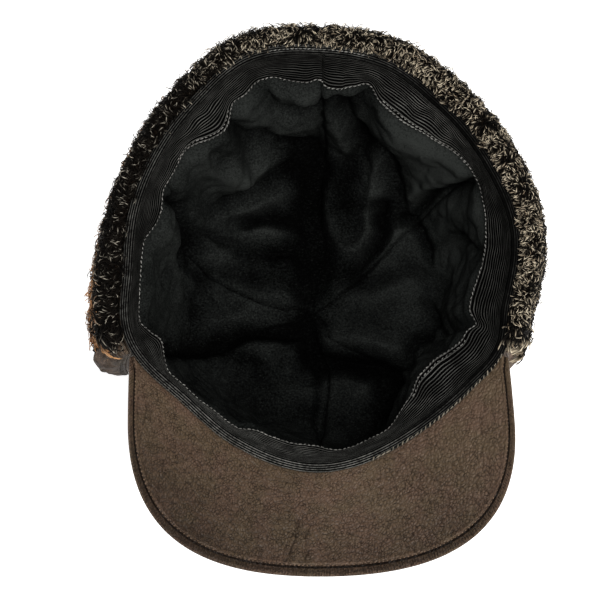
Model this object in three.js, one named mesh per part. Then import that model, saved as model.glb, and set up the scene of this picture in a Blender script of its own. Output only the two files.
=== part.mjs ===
// Trooper hat: a six-panel leather cap with a leather peak, a pile ear and neck flap turned up round its
// sides and back, a padded cloth lining and a ribbed sweatband. It lies upside down on its crown, as a hat
// is set down, with the head opening up.
// Millimetres, +Z up out of the head opening. The peak points to -Y and the wearer's right is +X.
// The origin is on the surface the hat lies on, below the middle of the opening.
// A bearing is an angle in plan: 0 at the back (+Y), 90 at the wearer's right (+X), 180 at the front.
import * as THREE from 'three';
import { mergeVertices } from 'three/addons/utils/BufferGeometryUtils.js';

// Head opening and crown
const RIM_REACH = 92; // mean distance from the middle of the opening to its edge
const CROWN_DEPTH = 108; // from the surface it lies on up to the rim at the back and sides
const FRONT_DIP = 8; // how much lower the rim is at the middle of the front
const REST_SHARE = 0.5; // reach of the flattened top of the crown, as a share of the rim's
const DOME_POWER = 2.4; // 2 would make the shoulder of the crown an ellipse, more makes it squarer
const CROWN_SWELL = 9; // how far the crown bellies out past the rim where it is fullest
const SLUMP_RIGHT = 8; // how far the top of the soft crown has slumped to the wearer's right
const SLUMP_FORWARD = 16; // and to the front
const CROWN_LEATHER = 1.3; // thickness of the crown's panels
const PANEL_COUNT = 6;
const SEAM_GAP = 0.4; // between neighbouring panels

// Clearance between pieces that lie on each other
const GAP = 0.5;

// Lining
const LINING_WALL = 2.6; // padded cloth
const LINING_EASE = 1.6; // least slack between the shoulder of the crown and the lining
const PANEL_PUFF = 5; // how far a panel of the lining stands off the crown between its seams
const PUFF_START = 9; // distance from the middle of the crown where the puff sets in
const PUFF_FULL = 55; // and where it is full
const FOLD_HEIGHT = 9; // height of the tallest fold in the lining

// Sweatband
const BAND_WALL = 1;
const BAND_HEIGHT = 24; // from the rim down to its stitched lower edge
const BAND_INSET = 9; // how far that edge stands in from the rim
const BAND_ROLL = 1.1; // how far the band's top rolls up over the rim
const PUCKER_DEPTH = 10; // deepest inward wave of the lower edge
const BAND_COVER = 0.3; // share of the band's height that the lining reaches up behind it

// Ear and neck flap, turned up
const FLAP_LEATHER = 1.2;
const FLAP_HEIGHT = 60; // from the rim down over the ear
const END_GAP = 2.2; // along the rim, between each front end of the flap and the peak
const PILE_DEPTH = 9;
const PILE_RISE = 4.2; // how far the turned pile stands up past the rim
const LOCK_RELIEF = 1.3; // how far the pile's locks stand over and under its mean face
const PILE_BEVEL = 1.4; // how far the pile's back stops short of its free edge
const HEM_WIDTH = 8.5; // leather hem at each front end of the flap
const HEM_TOP = 3; // how far the hem stays under the rim, and over the flap's free edge
const HEM_SHARE = 0.9; // of the pile's depth that the hem stands out

// Peak
const PEAK_END = 118; // degrees from the back round to each end of the peak on the rim
const PEAK_DEPTH = 48.8; // in plan, from the rim to the front edge along the middle
const PEAK_FLARE = 0.6; // how much further out its sides bow than its ends
const PEAK_WIDEST = 29; // how far in front of its ends it is widest
const PEAK_FULLNESS = 0.68; // roundness of the front corners, 0.55 for an ellipse, 1 for square
const PEAK_SLOPE = 25; // degrees, along the middle
const PEAK_SAG = 34; // height of its sides over its middle where it is widest
const PEAK_TOP_WALL = 2.8; // outer leather over its board
const PEAK_UNDER_WALL = 1.2;
const PEAK_ROLL = 4.2; // width of the rolled edge outside the underside leather
const PEAK_END_WIDTH = 2.6; // width left at each pointed end
const PEAK_SEAT = 1.6; // how far under the rim its underside meets the crown

// Facets
const CROWN_COLUMNS = 7;
const LINING_COLUMNS = 8;
const BAND_COLUMNS = 80;
const FLAP_COLUMNS = 42;
const PILE_COLUMNS = 60;
const PEAK_COLUMNS = 30;

// Rim and what lies round it. reach is a share of RIM_REACH, swell of CROWN_SWELL, pile of PILE_DEPTH.
const RIM_SECTIONS = [
  { bearing: 0, reach: 1.038, swell: 0.25, pile: 0.92 },
  { bearing: 20, reach: 1.028, swell: 0.55, pile: 1.08 },
  { bearing: 36, reach: 0.985, swell: 0.75, pile: 1.22 },
  { bearing: 60, reach: 0.973, swell: 0.8, pile: 1.2 },
  { bearing: 82, reach: 0.992, swell: 0.72, pile: 1.06 },
  { bearing: 104, reach: 0.968, swell: 0.66, pile: 0.82 },
  { bearing: 117, reach: 1.01, swell: 0.66, pile: 0.62 },
  { bearing: 131, reach: 0.981, swell: 0.85, pile: 0.85 },
  { bearing: 150, reach: 0.98, swell: 0.95, pile: 0.85 },
  { bearing: 180, reach: 1.035, swell: 0.95, pile: 0.85 },
  { bearing: 206, reach: 0.999, swell: 0.95, pile: 0.95 },
  { bearing: 224, reach: 0.974, swell: 0.95, pile: 1.0 },
  { bearing: 247, reach: 1.027, swell: 0.85, pile: 1.2 },
  { bearing: 266, reach: 0.957, swell: 0.8, pile: 1.3 },
  { bearing: 284, reach: 0.952, swell: 0.55, pile: 0.95 },
  { bearing: 304, reach: 0.962, swell: 0.55, pile: 0.92 },
  { bearing: 322, reach: 0.995, swell: 0.55, pile: 0.96 },
  { bearing: 340, reach: 1.058, swell: 0.4, pile: 0.9 },
];

// Waves of the sweatband's lower edge. depth is a share of PUCKER_DEPTH, width is in degrees.
const PUCKERS = [
  { bearing: 5, width: 7, depth: 0.65 },
  { bearing: 27, width: 10, depth: 0.85 },
  { bearing: 62, width: 9, depth: -0.25 },
  { bearing: 97, width: 14, depth: 0.55 },
  { bearing: 109, width: 4, depth: 0.35 },
  { bearing: 133, width: 14, depth: 1.0 },
  { bearing: 187, width: 13, depth: 0.3 },
  { bearing: 242, width: 5, depth: 0.65 },
  { bearing: 270, width: 15, depth: -0.35 },
  { bearing: 285, width: 7, depth: 0.5 },
  { bearing: 301, width: 6, depth: 0.35 },
  { bearing: 321, width: 8, depth: 1.05 },
  { bearing: 338, width: 5, depth: 0.45 },
  { bearing: 353, width: 6, depth: 0.5 },
];

// Folds of the lining in plan, from one end to the other. Places and widths are shares of RIM_REACH and
// heights of FOLD_HEIGHT.
const LINING_FOLDS = [
  { fromX: -0.6, fromY: 0.47, toX: -0.3, toY: 0.52, width: 0.11, height: 0.75 },
  { fromX: -0.62, fromY: 0.12, toX: -0.12, toY: 0.3, width: 0.12, height: 0.7 },
  { fromX: -0.5, fromY: -0.08, toX: -0.1, toY: 0.02, width: 0.12, height: 0.45 },
  { fromX: -0.35, fromY: 0.72, toX: -0.05, toY: 0.7, width: 0.11, height: 0.6 },
  { fromX: 0.06, fromY: 0.62, toX: 0.2, toY: 0.38, width: 0.11, height: 0.55 },
  { fromX: 0.34, fromY: 0.6, toX: 0.28, toY: 0.15, width: 0.11, height: 0.95 },
  { fromX: 0.08, fromY: 0.28, toX: 0.22, toY: 0.04, width: 0.11, height: 0.8 },
  { fromX: 0.42, fromY: 0.5, toX: 0.72, toY: 0.44, width: 0.12, height: 0.55 },
  { fromX: 0.36, fromY: 0.06, toX: 0.52, toY: 0.12, width: 0.11, height: 0.9 },
  { fromX: 0.62, fromY: 0.22, toX: 0.74, toY: 0.16, width: 0.12, height: 0.55 },
  { fromX: -0.62, fromY: -0.3, toX: -0.15, toY: -0.22, width: 0.12, height: 0.5 },
  { fromX: -0.55, fromY: -0.58, toX: -0.12, toY: -0.48, width: 0.13, height: 0.75 },
  { fromX: 0.08, fromY: -0.32, toX: 0.5, toY: -0.34, width: 0.11, height: 0.85 },
  { fromX: 0.1, fromY: -0.72, toX: 0.32, toY: -0.7, width: 0.12, height: 0.7 },
  { fromX: 0.52, fromY: -0.42, toX: 0.4, toY: -0.72, width: 0.11, height: 0.5 },
];

// Free edge of the flap, as a share of FLAP_HEIGHT at bearings on either side of the back.
const FLAP_EDGE = [
  { bearing: 0, height: 0.84 },
  { bearing: 40, height: 0.86 },
  { bearing: 72, height: 0.97 },
  { bearing: 96, height: 1.0 },
  { bearing: 110, height: 0.95 },
  { bearing: 117, height: 0.84 },
];

// Section of the pile from its seam at the rim, over the turn and down to the free edge: out is a share
// of the pile's depth, over of PILE_RISE and down of the flap's height there.
const PILE_SECTION = [
  { out: 0.02, over: 0.35, down: 0 },
  { out: 0.16, over: 0.85, down: 0 },
  { out: 0.42, over: 1.0, down: 0 },
  { out: 0.7, over: 0.72, down: 0 },
  { out: 0.9, over: 0.05, down: 0 },
  { out: 1.0, over: 0, down: 0.14 },
  { out: 1.0, over: 0, down: 0.34 },
  { out: 1.0, over: 0, down: 0.56 },
  { out: 0.97, over: 0, down: 0.76 },
  { out: 0.86, over: 0, down: 0.91 },
  { out: 0.45, over: 0, down: 0.985 },
];

const radians = THREE.MathUtils.degToRad;
const lerp = THREE.MathUtils.lerp;
const smoothstep = THREE.MathUtils.smoothstep;

// A column of a table of sections at any bearing, on a smooth closed curve through its rows.
function roundTable(rows, column, bearing) {
  const at = THREE.MathUtils.euclideanModulo(bearing, 360);
  const count = rows.length;
  let k = rows.findLastIndex((row) => row.bearing <= at);
  const row = (i) => rows[(i + count) % count];
  const span = THREE.MathUtils.euclideanModulo(row(k + 1).bearing - row(k).bearing, 360);
  const t = (at - row(k).bearing) / span;
  const [a, b, c, d] = [k - 1, k, k + 1, k + 2].map((i) => row(i)[column]);
  return b + 0.5 * t * (c - a + t * (2 * a - 5 * b + 4 * c - d + t * (3 * (b - c) + d - a)));
}

// A column of an open table, straight between its rows and level past its last.
function openTable(rows, column, bearing) {
  const k = rows.findIndex((row) => row.bearing >= bearing);
  if (k < 0) return rows[rows.length - 1][column];
  if (k === 0) return rows[0][column];
  const share = (bearing - rows[k - 1].bearing) / (rows[k].bearing - rows[k - 1].bearing);
  return lerp(rows[k - 1][column], rows[k][column], share);
}

// Degrees from one bearing to another the short way round.
const turn = (from, to) => THREE.MathUtils.euclideanModulo(to - from + 180, 360) - 180;
const bell = (distance, width) => Math.exp(-((distance / width) ** 2));

const rimReach = (bearing) => RIM_REACH * roundTable(RIM_SECTIONS, 'reach', bearing);
const crownSwell = (bearing) => CROWN_SWELL * roundTable(RIM_SECTIONS, 'swell', bearing);
const pileDepth = (bearing) => PILE_DEPTH * roundTable(RIM_SECTIONS, 'pile', bearing);

// The rim dips where the peak is bent across the forehead.
function rimHeight(bearing) {
  const side = Math.min(1, Math.abs(turn(180, bearing)) / (180 - PEAK_END));
  return CROWN_DEPTH - FRONT_DIP * 0.5 * (1 + Math.cos(Math.PI * side));
}

// Outside of the crown at a height above the surface: its distance from the crown's leaning axis.
function crownReach(bearing, height) {
  const share = THREE.MathUtils.clamp(height / rimHeight(bearing), 0, 1);
  const dome = (1 - (1 - share) ** DOME_POWER) ** (1 / DOME_POWER);
  const reach = rimReach(bearing) * lerp(REST_SHARE, 1, dome);
  return reach + crownSwell(bearing) * Math.sin(Math.PI * share);
}

// A point by bearing, distance from the leaning axis and height. Nothing above the rim leans.
function place(bearing, reach, height) {
  const slump = 1 - THREE.MathUtils.clamp(height / CROWN_DEPTH, 0, 1);
  const angle = radians(bearing);
  const x = SLUMP_RIGHT * slump + reach * Math.sin(angle);
  const y = -SLUMP_FORWARD * slump + reach * Math.cos(angle);
  return [x, y, height];
}

// One closed solid between two faces laid out in columns and rows. front and back give a point for shares
// across and along; a loop closes on its first column.
function closedSheet(columns, rows, front, back, loop = false) {
  const across = loop ? columns : columns + 1;
  const positions = [];
  for (const face of [front, back])
    for (let i = 0; i < across; i += 1)
      for (let j = 0; j <= rows; j += 1) positions.push(...face(i / columns, j / rows));
  const corners = [];
  const vertex = (side, i, j) => (side * across + (i % across)) * (rows + 1) + j;
  const quad = (a, b, c, d) => corners.push(a, b, c, a, c, d);
  for (let i = 0; i < columns; i += 1) {
    for (let j = 0; j < rows; j += 1) {
      quad(vertex(0, i, j), vertex(0, i + 1, j), vertex(0, i + 1, j + 1), vertex(0, i, j + 1));
      quad(vertex(1, i, j), vertex(1, i, j + 1), vertex(1, i + 1, j + 1), vertex(1, i + 1, j));
    }
    quad(vertex(0, i, 0), vertex(1, i, 0), vertex(1, i + 1, 0), vertex(0, i + 1, 0));
    quad(vertex(0, i, rows), vertex(0, i + 1, rows), vertex(1, i + 1, rows), vertex(1, i, rows));
  }
  for (let j = 0; j < rows && !loop; j += 1) {
    quad(vertex(0, 0, j), vertex(0, 0, j + 1), vertex(1, 0, j + 1), vertex(1, 0, j));
    const last = columns;
    quad(vertex(0, last, j), vertex(1, last, j), vertex(1, last, j + 1), vertex(0, last, j + 1));
  }
  const sheet = new THREE.BufferGeometry();
  sheet.setAttribute('position', new THREE.Float32BufferAttribute(positions, 3));
  sheet.setIndex(corners);
  return facingOut(mergeVertices(sheet, 1e-3));
}

// Drops triangles that a shared corner has flattened, and turns the faces outwards.
function facingOut(geometry) {
  const vertices = geometry.getAttribute('position');
  const index = geometry.getIndex().array;
  const kept = [];
  let volume = 0;
  const corner = [new THREE.Vector3(), new THREE.Vector3(), new THREE.Vector3()];
  for (let i = 0; i < index.length; i += 3) {
    const [a, b, c] = [index[i], index[i + 1], index[i + 2]];
    if (a === b || b === c || c === a) continue;
    kept.push(a, b, c);
    [a, b, c].forEach((v, k) => corner[k].fromBufferAttribute(vertices, v));
    volume += corner[0].dot(corner[1].cross(corner[2]));
  }
  if (volume < 0) kept.reverse();
  geometry.setIndex(kept);
  geometry.computeVertexNormals();
  return geometry;
}

// Crown and lining share one wall: along runs from the middle of the crown at 0, over the flat top to its
// edge at FLAT_ROWS, and up the shoulder and side to the rim. Its rows crowd where the wall bends most.
const FLAT_ROWS = 3;
const SIDE_ROWS = 7;
const WALL_ROWS = FLAT_ROWS + SIDE_ROWS;

// Height on the wall of a row on the side, as a share of the rim's height.
const sideShare = (sweep) => 1 - Math.cos((sweep * Math.PI) / 2) ** (2 / DOME_POWER);

// A point at a distance inside the crown's outer face, measured square to it.
function wallPoint(bearing, row, topSweep, inset) {
  const section = (at) => {
    if (at <= FLAT_ROWS) return [(rimReach(bearing) * REST_SHARE * at) / FLAT_ROWS, 0];
    const height = rimHeight(bearing) * sideShare(((at - FLAT_ROWS) / SIDE_ROWS) * topSweep);
    return [crownReach(bearing, height), height];
  };
  const [reach, height] = section(row);
  const step = 0.25;
  const [before, after] = [section(Math.max(0, row - step)), section(Math.min(WALL_ROWS, row + step))];
  const slope = new THREE.Vector2(after[0] - before[0], after[1] - before[1]).normalize();
  return [reach - slope.y * inset, height + slope.x * inset];
}

// One panel of a six-panel wall, from the middle of the crown up, with half a seam gap at each side.
function panel(number, columns, topSweep, outerInset, innerInset) {
  const width = 360 / PANEL_COUNT;
  const face = (insetAt) => (across, along) => {
    const row = along * WALL_ROWS;
    const middle = (number + 0.5) * width;
    const rough = (number + across) * width;
    const [reach, height] = wallPoint(rough, row, topSweep, insetAt(rough, row));
    const least = SEAM_GAP / 2 / Math.sin(radians(width / 2));
    if (reach <= least) return place(middle, least, height);
    const trim = THREE.MathUtils.radToDeg(Math.asin(SEAM_GAP / 2 / reach));
    const bearing = lerp(number * width + trim, (number + 1) * width - trim, across);
    return place(bearing, reach, height);
  };
  return closedSheet(columns, WALL_ROWS, face(outerInset), face(innerInset));
}

// Crown leather. Its upper edge stops a clearance under the sweatband's lip.
function crownPanel(number) {
  const topSweep = 1 - GAP / CROWN_DEPTH;
  return panel(number, CROWN_COLUMNS, topSweep, () => 0, () => CROWN_LEATHER);
}

// How far in from the crown's slumped wall the sweatband's lower edge stands. The table's waves are
// measured from the rim, so the wall's own slump at that depth comes off.
function bandInset(bearing) {
  const waves = PUCKERS.map((p) => p.depth * bell(turn(p.bearing, bearing), p.width));
  const right = SLUMP_RIGHT * Math.sin(radians(bearing));
  const forward = SLUMP_FORWARD * Math.cos(radians(bearing));
  const slump = ((right - forward) * BAND_HEIGHT) / CROWN_DEPTH;
  return BAND_INSET + slump + PUCKER_DEPTH * waves.reduce((sum, wave) => sum + wave, 0);
}

// Height of the folds of the lining at a place in plan.
function foldsAt(x, y) {
  let height = 0;
  for (const fold of LINING_FOLDS) {
    const [dx, dy] = [fold.toX - fold.fromX, fold.toY - fold.fromY];
    const [px, py] = [x / RIM_REACH - fold.fromX, y / RIM_REACH - fold.fromY];
    const along = THREE.MathUtils.clamp((px * dx + py * dy) / (dx * dx + dy * dy), 0, 1);
    height += fold.height * bell(Math.hypot(px - along * dx, py - along * dy), fold.width);
  }
  return FOLD_HEIGHT * height;
}

// The lining reaches up behind the sweatband, follows its waves there, and puffs between its seams. These
// are shares of its side from the shoulder up: where its ease is full, where it starts to follow the band
// and where its folds die out.
const EASE_FULL = 0.2;
const FOLLOW_START = 0.3;
const FOLDS_END = 0.75;
const liningTop = CROWN_DEPTH - BAND_HEIGHT * (1 - BAND_COVER);
const SWELL_AT_BAND = Math.sin((Math.PI * liningTop) / CROWN_DEPTH);
const liningSweep = (Math.acos((1 - liningTop / CROWN_DEPTH) ** (DOME_POWER / 2)) * 2) / Math.PI;

// How far in the sweatband's wall has leaned at a share of its height. It bends in most near its edge.
const BAND_BEND = 0.7;
const bandLean = (bearing, share) => bandInset(bearing) * share * lerp(1, share, BAND_BEND);

function liningSlack(bearing, row) {
  const rise = Math.max(0, row - FLAT_ROWS) / SIDE_ROWS;
  const [reach, height] = wallPoint(bearing, row, liningSweep, CROWN_LEATHER + LINING_WALL + PANEL_PUFF);
  const [x, y] = place(bearing, reach, height);
  const betweenSeams = Math.abs(Math.sin((radians(bearing) * PANEL_COUNT) / 2));
  const puff = PANEL_PUFF * betweenSeams * smoothstep(reach, PUFF_START, PUFF_FULL);
  const calm = 1 - smoothstep(rise, FOLDS_END, 1);
  const bandThere = bandLean(bearing, 1 - BAND_COVER) + crownSwell(bearing) * SWELL_AT_BAND;
  const behindBand = Math.max(0, bandThere - LINING_WALL - 2 * GAP);
  const ease = LINING_EASE * smoothstep(rise, 0, EASE_FULL) * calm;
  return ease + (puff + foldsAt(x, y)) * calm + behindBand * smoothstep(rise, FOLLOW_START, 1);
}

function liningPanel(number) {
  const outer = (bearing, row) => CROWN_LEATHER + GAP + liningSlack(bearing, row);
  const inner = (bearing, row) => outer(bearing, row) + LINING_WALL;
  return panel(number, LINING_COLUMNS, liningSweep, outer, inner);
}

// Sweatband: a ribbed tape sewn over the rim. Its lip covers the raw edges of crown and flap, its wall
// leans in, and its lower edge waves where it is caught to the lining. out is from the rim outwards.
const flapFace = 2 * GAP + FLAP_LEATHER; // from the crown's leather out to the pile's back
const UNDER_ROLL = 0.6; // share of the roll that its underside follows
const BAND_SECTION = [
  { out: 1, up: 0, down: 0 },
  { out: 0.2, up: 0.6, down: 0 },
  { out: -0.8, up: 0.5, down: 0 },
  { out: 0, up: 0, down: 0.12 },
  { out: 0, up: 0, down: 0.4 },
  { out: 0, up: 0, down: 0.72 },
  { out: 0, up: 0, down: 1 },
];

function sweatband() {
  const lip = flapFace - GAP;
  const rows = BAND_SECTION.length - 1;
  const wallStart = CROWN_LEATHER + GAP;
  const section = (bearing, row, wall) => {
    const { out, up, down } = BAND_SECTION[row];
    if (down === 0) {
      const turnIn = out < 0 ? out * (wallStart + wall) : out * lip;
      return [turnIn, wall + BAND_ROLL * up * (wall === 0 ? UNDER_ROLL : 1)];
    }
    return [-wallStart - wall - bandLean(bearing, down), -BAND_HEIGHT * down];
  };
  const face = (wall) => (across, along) => {
    const bearing = across * 360;
    const [out, up] = section(bearing, Math.round(along * rows), wall);
    const height = rimHeight(bearing) + up;
    return place(bearing, rimReach(bearing) + out, height);
  };
  return closedSheet(BAND_COLUMNS, rows, face(BAND_WALL), face(0), true);
}

// Degrees from the back round to the front ends of the flap and of its pile.
const arcDegrees = (length) => THREE.MathUtils.radToDeg(length / RIM_REACH);
const FLAP_END = PEAK_END - arcDegrees(END_GAP);
const PILE_END = FLAP_END - arcDegrees(HEM_WIDTH);
const flapDrop = (bearing) => FLAP_HEIGHT * openTable(FLAP_EDGE, 'height', Math.abs(turn(0, bearing)));

// A point outside the crown by bearing, depth below the rim and distance out from the crown's face.
function outsidePoint(bearing, depth, out) {
  const height = rimHeight(bearing) - depth;
  return place(bearing, crownReach(bearing, height) + out, height);
}

// Leather of the flap, which lies on the crown when the flap is turned up.
function flapLeather() {
  const rows = 6;
  const face = (out) => (across, along) => {
    const bearing = lerp(-FLAP_END, FLAP_END, across);
    return outsidePoint(bearing, lerp(GAP, flapDrop(bearing), along), out);
  };
  return closedSheet(FLAP_COLUMNS, rows, face(GAP + FLAP_LEATHER), face(GAP));
}

// Height of the pile's locks. They lie in uneven rows, which two crossed waves make: turn is each wave's
// phase step from column to column and drop its step from row to row, in radians.
const LOCK_WAVES = [
  { turn: 2.4, drop: 1.7 },
  { turn: 1.3, drop: -2.9 },
];
function lockHeight(column, row) {
  const [first, second] = LOCK_WAVES.map((wave) => Math.sin(column * wave.turn + row * wave.drop));
  return LOCK_RELIEF * first * second;
}

// Pile of the flap, sewn in at the rim and turned over it with its locks outwards. Its depth tapers to
// PILE_END_SHARE at its front ends, within PILE_TAPER of its length, where the hems close them.
const PILE_END_SHARE = 0.62;
const PILE_TAPER = 0.02;
function flapPile() {
  const rows = PILE_SECTION.length - 1;
  const outer = (across, along) => {
    const row = Math.round(along * rows);
    const { out, over, down } = PILE_SECTION[row];
    const bearing = lerp(-PILE_END, PILE_END, across);
    const taper = lerp(PILE_END_SHARE, 1, Math.min(1, (0.5 - Math.abs(across - 0.5)) / PILE_TAPER));
    const lock = row === 0 || row === rows ? 0 : lockHeight(across * PILE_COLUMNS, row);
    const stand = flapFace + out * pileDepth(bearing) * taper + lock;
    const [x, y, z] = outsidePoint(bearing, down * flapDrop(bearing), stand);
    return [x, y, z + over * PILE_RISE * taper];
  };
  const inner = (across, along) => {
    const bearing = lerp(-PILE_END, PILE_END, across);
    const depth = PILE_SECTION[Math.round(along * rows)].down * flapDrop(bearing) - PILE_BEVEL * along;
    return outsidePoint(bearing, Math.max(0, depth), flapFace);
  };
  return closedSheet(PILE_COLUMNS, rows, outer, inner);
}

// Leather hem that closes a front end of the flap in front of its pile. side is 1 right, -1 left. It is
// rounded like a roll from the pile out to its edge, and its ends are rounded off too.
const HEM_ROLL = 0.86;
const HEM_ENDS = 0.8;
function flapHem(side) {
  const columns = 4;
  const rows = 8;
  const start = PILE_END + arcDegrees(GAP);
  const face = (outward) => (across, along) => {
    const depth = lerp(HEM_TOP, flapDrop(FLAP_END) - HEM_TOP, along);
    const bearing = side * lerp(start, FLAP_END, across);
    const roll = Math.sqrt(1 - (HEM_ROLL * across) ** 2);
    const roundEnds = Math.sqrt(1 - (HEM_ENDS * (2 * along - 1)) ** 4);
    const stand = HEM_SHARE * pileDepth(bearing) * roll * roundEnds;
    return outsidePoint(bearing, depth, flapFace + outward * stand);
  };
  return closedSheet(columns, rows, face(1), face(0));
}

// Peak, bent across the forehead. Its outer edge in plan runs from its right end round the front.
const peakEnd = (() => {
  const [x, y] = place(PEAK_END, rimReach(PEAK_END) + flapFace + PEAK_END_WIDTH, CROWN_DEPTH);
  return { x, y };
})();
const peakHalfWidth = peakEnd.x + PEAK_FLARE;
const peakFront = -rimReach(180) - PEAK_DEPTH;

function peakOutline() {
  const widest = peakEnd.y - PEAK_WIDEST;
  const sideBend = lerp(peakEnd.y, widest, 0.5);
  const cornerY = lerp(widest, peakFront, PEAK_FULLNESS);
  const cornerX = peakHalfWidth * PEAK_FULLNESS;
  const edge = new THREE.Path();
  edge.moveTo(peakEnd.x, peakEnd.y);
  edge.quadraticCurveTo(peakHalfWidth, sideBend, peakHalfWidth, widest);
  edge.bezierCurveTo(peakHalfWidth, cornerY, cornerX, peakFront, 0, peakFront);
  edge.bezierCurveTo(-cornerX, peakFront, -peakHalfWidth, cornerY, -peakHalfWidth, widest);
  edge.quadraticCurveTo(-peakHalfWidth, sideBend, -peakEnd.x, peakEnd.y);
  return edge.getSpacedPoints(PEAK_COLUMNS);
}
const peakEdge = peakOutline();

// Height of its underside anywhere in plan.
function slopeHeight(x, y) {
  const ahead = -y - rimReach(180);
  const sag = PEAK_SAG * (x / peakHalfWidth) ** 2;
  return rimHeight(180) - PEAK_SEAT + Math.tan(radians(PEAK_SLOPE)) * ahead + sag;
}

// A point of the peak: share across from right to left, distance back from the outer edge as a share of
// the way to the rim, and depth below the underside's face.
function peakPoint(across, back, depth) {
  const bearing = lerp(PEAK_END, 360 - PEAK_END, across);
  const edge = peakEdge[Math.round(across * PEAK_COLUMNS)];
  const rootHeight = rimHeight(bearing) - PEAK_SEAT;
  const root = outsidePoint(bearing, PEAK_SEAT + depth, GAP);
  const edgeHeight = Math.max(rootHeight, slopeHeight(edge.x, edge.y));
  return [
    lerp(edge.x, root[0], back),
    lerp(edge.y, root[1], back),
    lerp(edgeHeight, rootHeight, back) - depth,
  ];
}

// Share of the way back to the rim that a width in from the edge takes up. Near the pointed ends the
// rolled edge narrows, so that it never takes more than ROLL_LIMIT of the way.
const ROLL_LIMIT = 0.4;
function edgeShare(across, width) {
  const [edge, root] = [peakPoint(across, 0, 0), peakPoint(across, 1, 0)];
  const span = Math.hypot(edge[0] - root[0], edge[1] - root[1], edge[2] - root[2]);
  return Math.min(width / span, (width / PEAK_ROLL) * ROLL_LIMIT);
}

// Underside leather, inside the rolled edge.
function peakUnderside() {
  const rows = 4;
  const face = (depth) => (across, along) => {
    const back = lerp(edgeShare(across, PEAK_ROLL + GAP), 1, along);
    return peakPoint(across, back, depth);
  };
  return closedSheet(PEAK_COLUMNS, rows, face(0), face(PEAK_UNDER_WALL));
}

// Upper leather with its board, rolled up round the edge beside the underside leather. in is the width
// in from the edge as a share of PEAK_ROLL, lift the rolled face between its seat at 0 and its crest at
// 1, and belly the depth of the leather's outer face as a share of its depth behind the roll.
const ROLL_SECTION = [
  { in: 0, lift: 0.42, belly: 0.62 },
  { in: 0.12, lift: 0.8, belly: 0.77 },
  { in: 0.45, lift: 1.08, belly: 0.9 },
  { in: 0.85, lift: 1.0, belly: 0.98 },
  { in: 1, lift: 0.8, belly: 1 },
  { in: 1, lift: 0, belly: 1 },
];

function peakUpper() {
  const flatRows = 4;
  const rollRows = ROLL_SECTION.length;
  const rows = flatRows + rollRows - 1;
  const seat = PEAK_UNDER_WALL + GAP;
  const bottom = seat + PEAK_TOP_WALL;
  const face = (lower) => (across, along) => {
    const row = Math.round(along * rows);
    const seatShare = edgeShare(across, PEAK_ROLL);
    if (row >= rollRows) {
      const back = lerp(seatShare, 1, (row - rollRows + 1) / flatRows);
      return peakPoint(across, back, lower ? bottom : seat);
    }
    const { in: inwards, lift, belly } = ROLL_SECTION[row];
    const depth = lower ? bottom * belly : seat * (1 - lift);
    return peakPoint(across, edgeShare(across, PEAK_ROLL * inwards), depth);
  };
  return closedSheet(PEAK_COLUMNS, rows, face(false), face(true));
}

const leather = { color: 0x55463c, roughness: 0.55, metalness: 0 };
const liningCloth = { color: 0x151616, roughness: 0.95, metalness: 0 };
const bandCloth = { color: 0x1c1d1c, roughness: 0.8, metalness: 0 };
const pileCloth = { color: 0x3a2e24, roughness: 0.95, metalness: 0 };

const hat = new THREE.Group();

function addPiece(name, geometry, finish) {
  const piece = new THREE.Mesh(geometry, new THREE.MeshStandardMaterial(finish));
  piece.name = name;
  hat.add(piece);
}

const PANEL_NAMES = ['back_right', 'side_right', 'front_right', 'front_left', 'side_left', 'back_left'];
PANEL_NAMES.forEach((name, number) => addPiece(`crown_${name}`, crownPanel(number), leather));
PANEL_NAMES.forEach((name, number) => addPiece(`lining_${name}`, liningPanel(number), liningCloth));
addPiece('sweatband', sweatband(), bandCloth);
addPiece('flap_leather', flapLeather(), leather);
addPiece('flap_pile', flapPile(), pileCloth);
addPiece('flap_hem_right', flapHem(1), leather);
addPiece('flap_hem_left', flapHem(-1), leather);
addPiece('peak_upper', peakUpper(), leather);
addPiece('peak_underside', peakUnderside(), leather);

export default hat;
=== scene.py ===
# Trooper hat lying upside down on its crown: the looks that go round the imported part.
# Shape functions work in millimetres and every mesh is made in metres, with +Z up out of the head
# opening, the peak towards -Y and the wearer's right at +X. A bearing is an angle in plan, in degrees,
# 0 at the back and 90 at the wearer's right. A place in view is in pixels of the 600 by 600 frame.
import math

import bmesh
import bpy
import numpy as np
from mathutils import Matrix, Vector, noise


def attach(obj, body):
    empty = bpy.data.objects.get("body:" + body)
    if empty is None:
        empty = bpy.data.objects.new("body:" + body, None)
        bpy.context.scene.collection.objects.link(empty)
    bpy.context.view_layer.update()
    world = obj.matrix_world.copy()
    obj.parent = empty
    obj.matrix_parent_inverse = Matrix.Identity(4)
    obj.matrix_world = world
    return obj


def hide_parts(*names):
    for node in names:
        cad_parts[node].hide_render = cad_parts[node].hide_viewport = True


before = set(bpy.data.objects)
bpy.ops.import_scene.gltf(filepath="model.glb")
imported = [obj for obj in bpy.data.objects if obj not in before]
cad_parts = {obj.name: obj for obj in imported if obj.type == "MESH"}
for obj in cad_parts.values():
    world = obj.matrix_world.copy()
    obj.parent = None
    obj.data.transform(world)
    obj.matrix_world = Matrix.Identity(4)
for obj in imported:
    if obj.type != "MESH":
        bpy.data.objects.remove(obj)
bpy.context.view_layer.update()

# Table, light and eye
# The hat lies on a plain pale table under a broad soft lamp and an even sky, and is looked at from
# above, a little from its left and its front.
scene = bpy.context.scene
scene.view_settings.view_transform = "Standard"
LEAN_OF_EYE = math.tan(math.radians(4))
EYE_DISTANCE = 1100
FOCAL_PIXELS = 2417.6
rim_middle = Vector((0, 0, 108))
view_middle = Vector((-9.1, -19.6, 108))
eye = rim_middle + Vector((-LEAN_OF_EYE, -LEAN_OF_EYE, 1)).normalized() * EYE_DISTANCE
look_back = (eye - view_middle).normalized()
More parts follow.
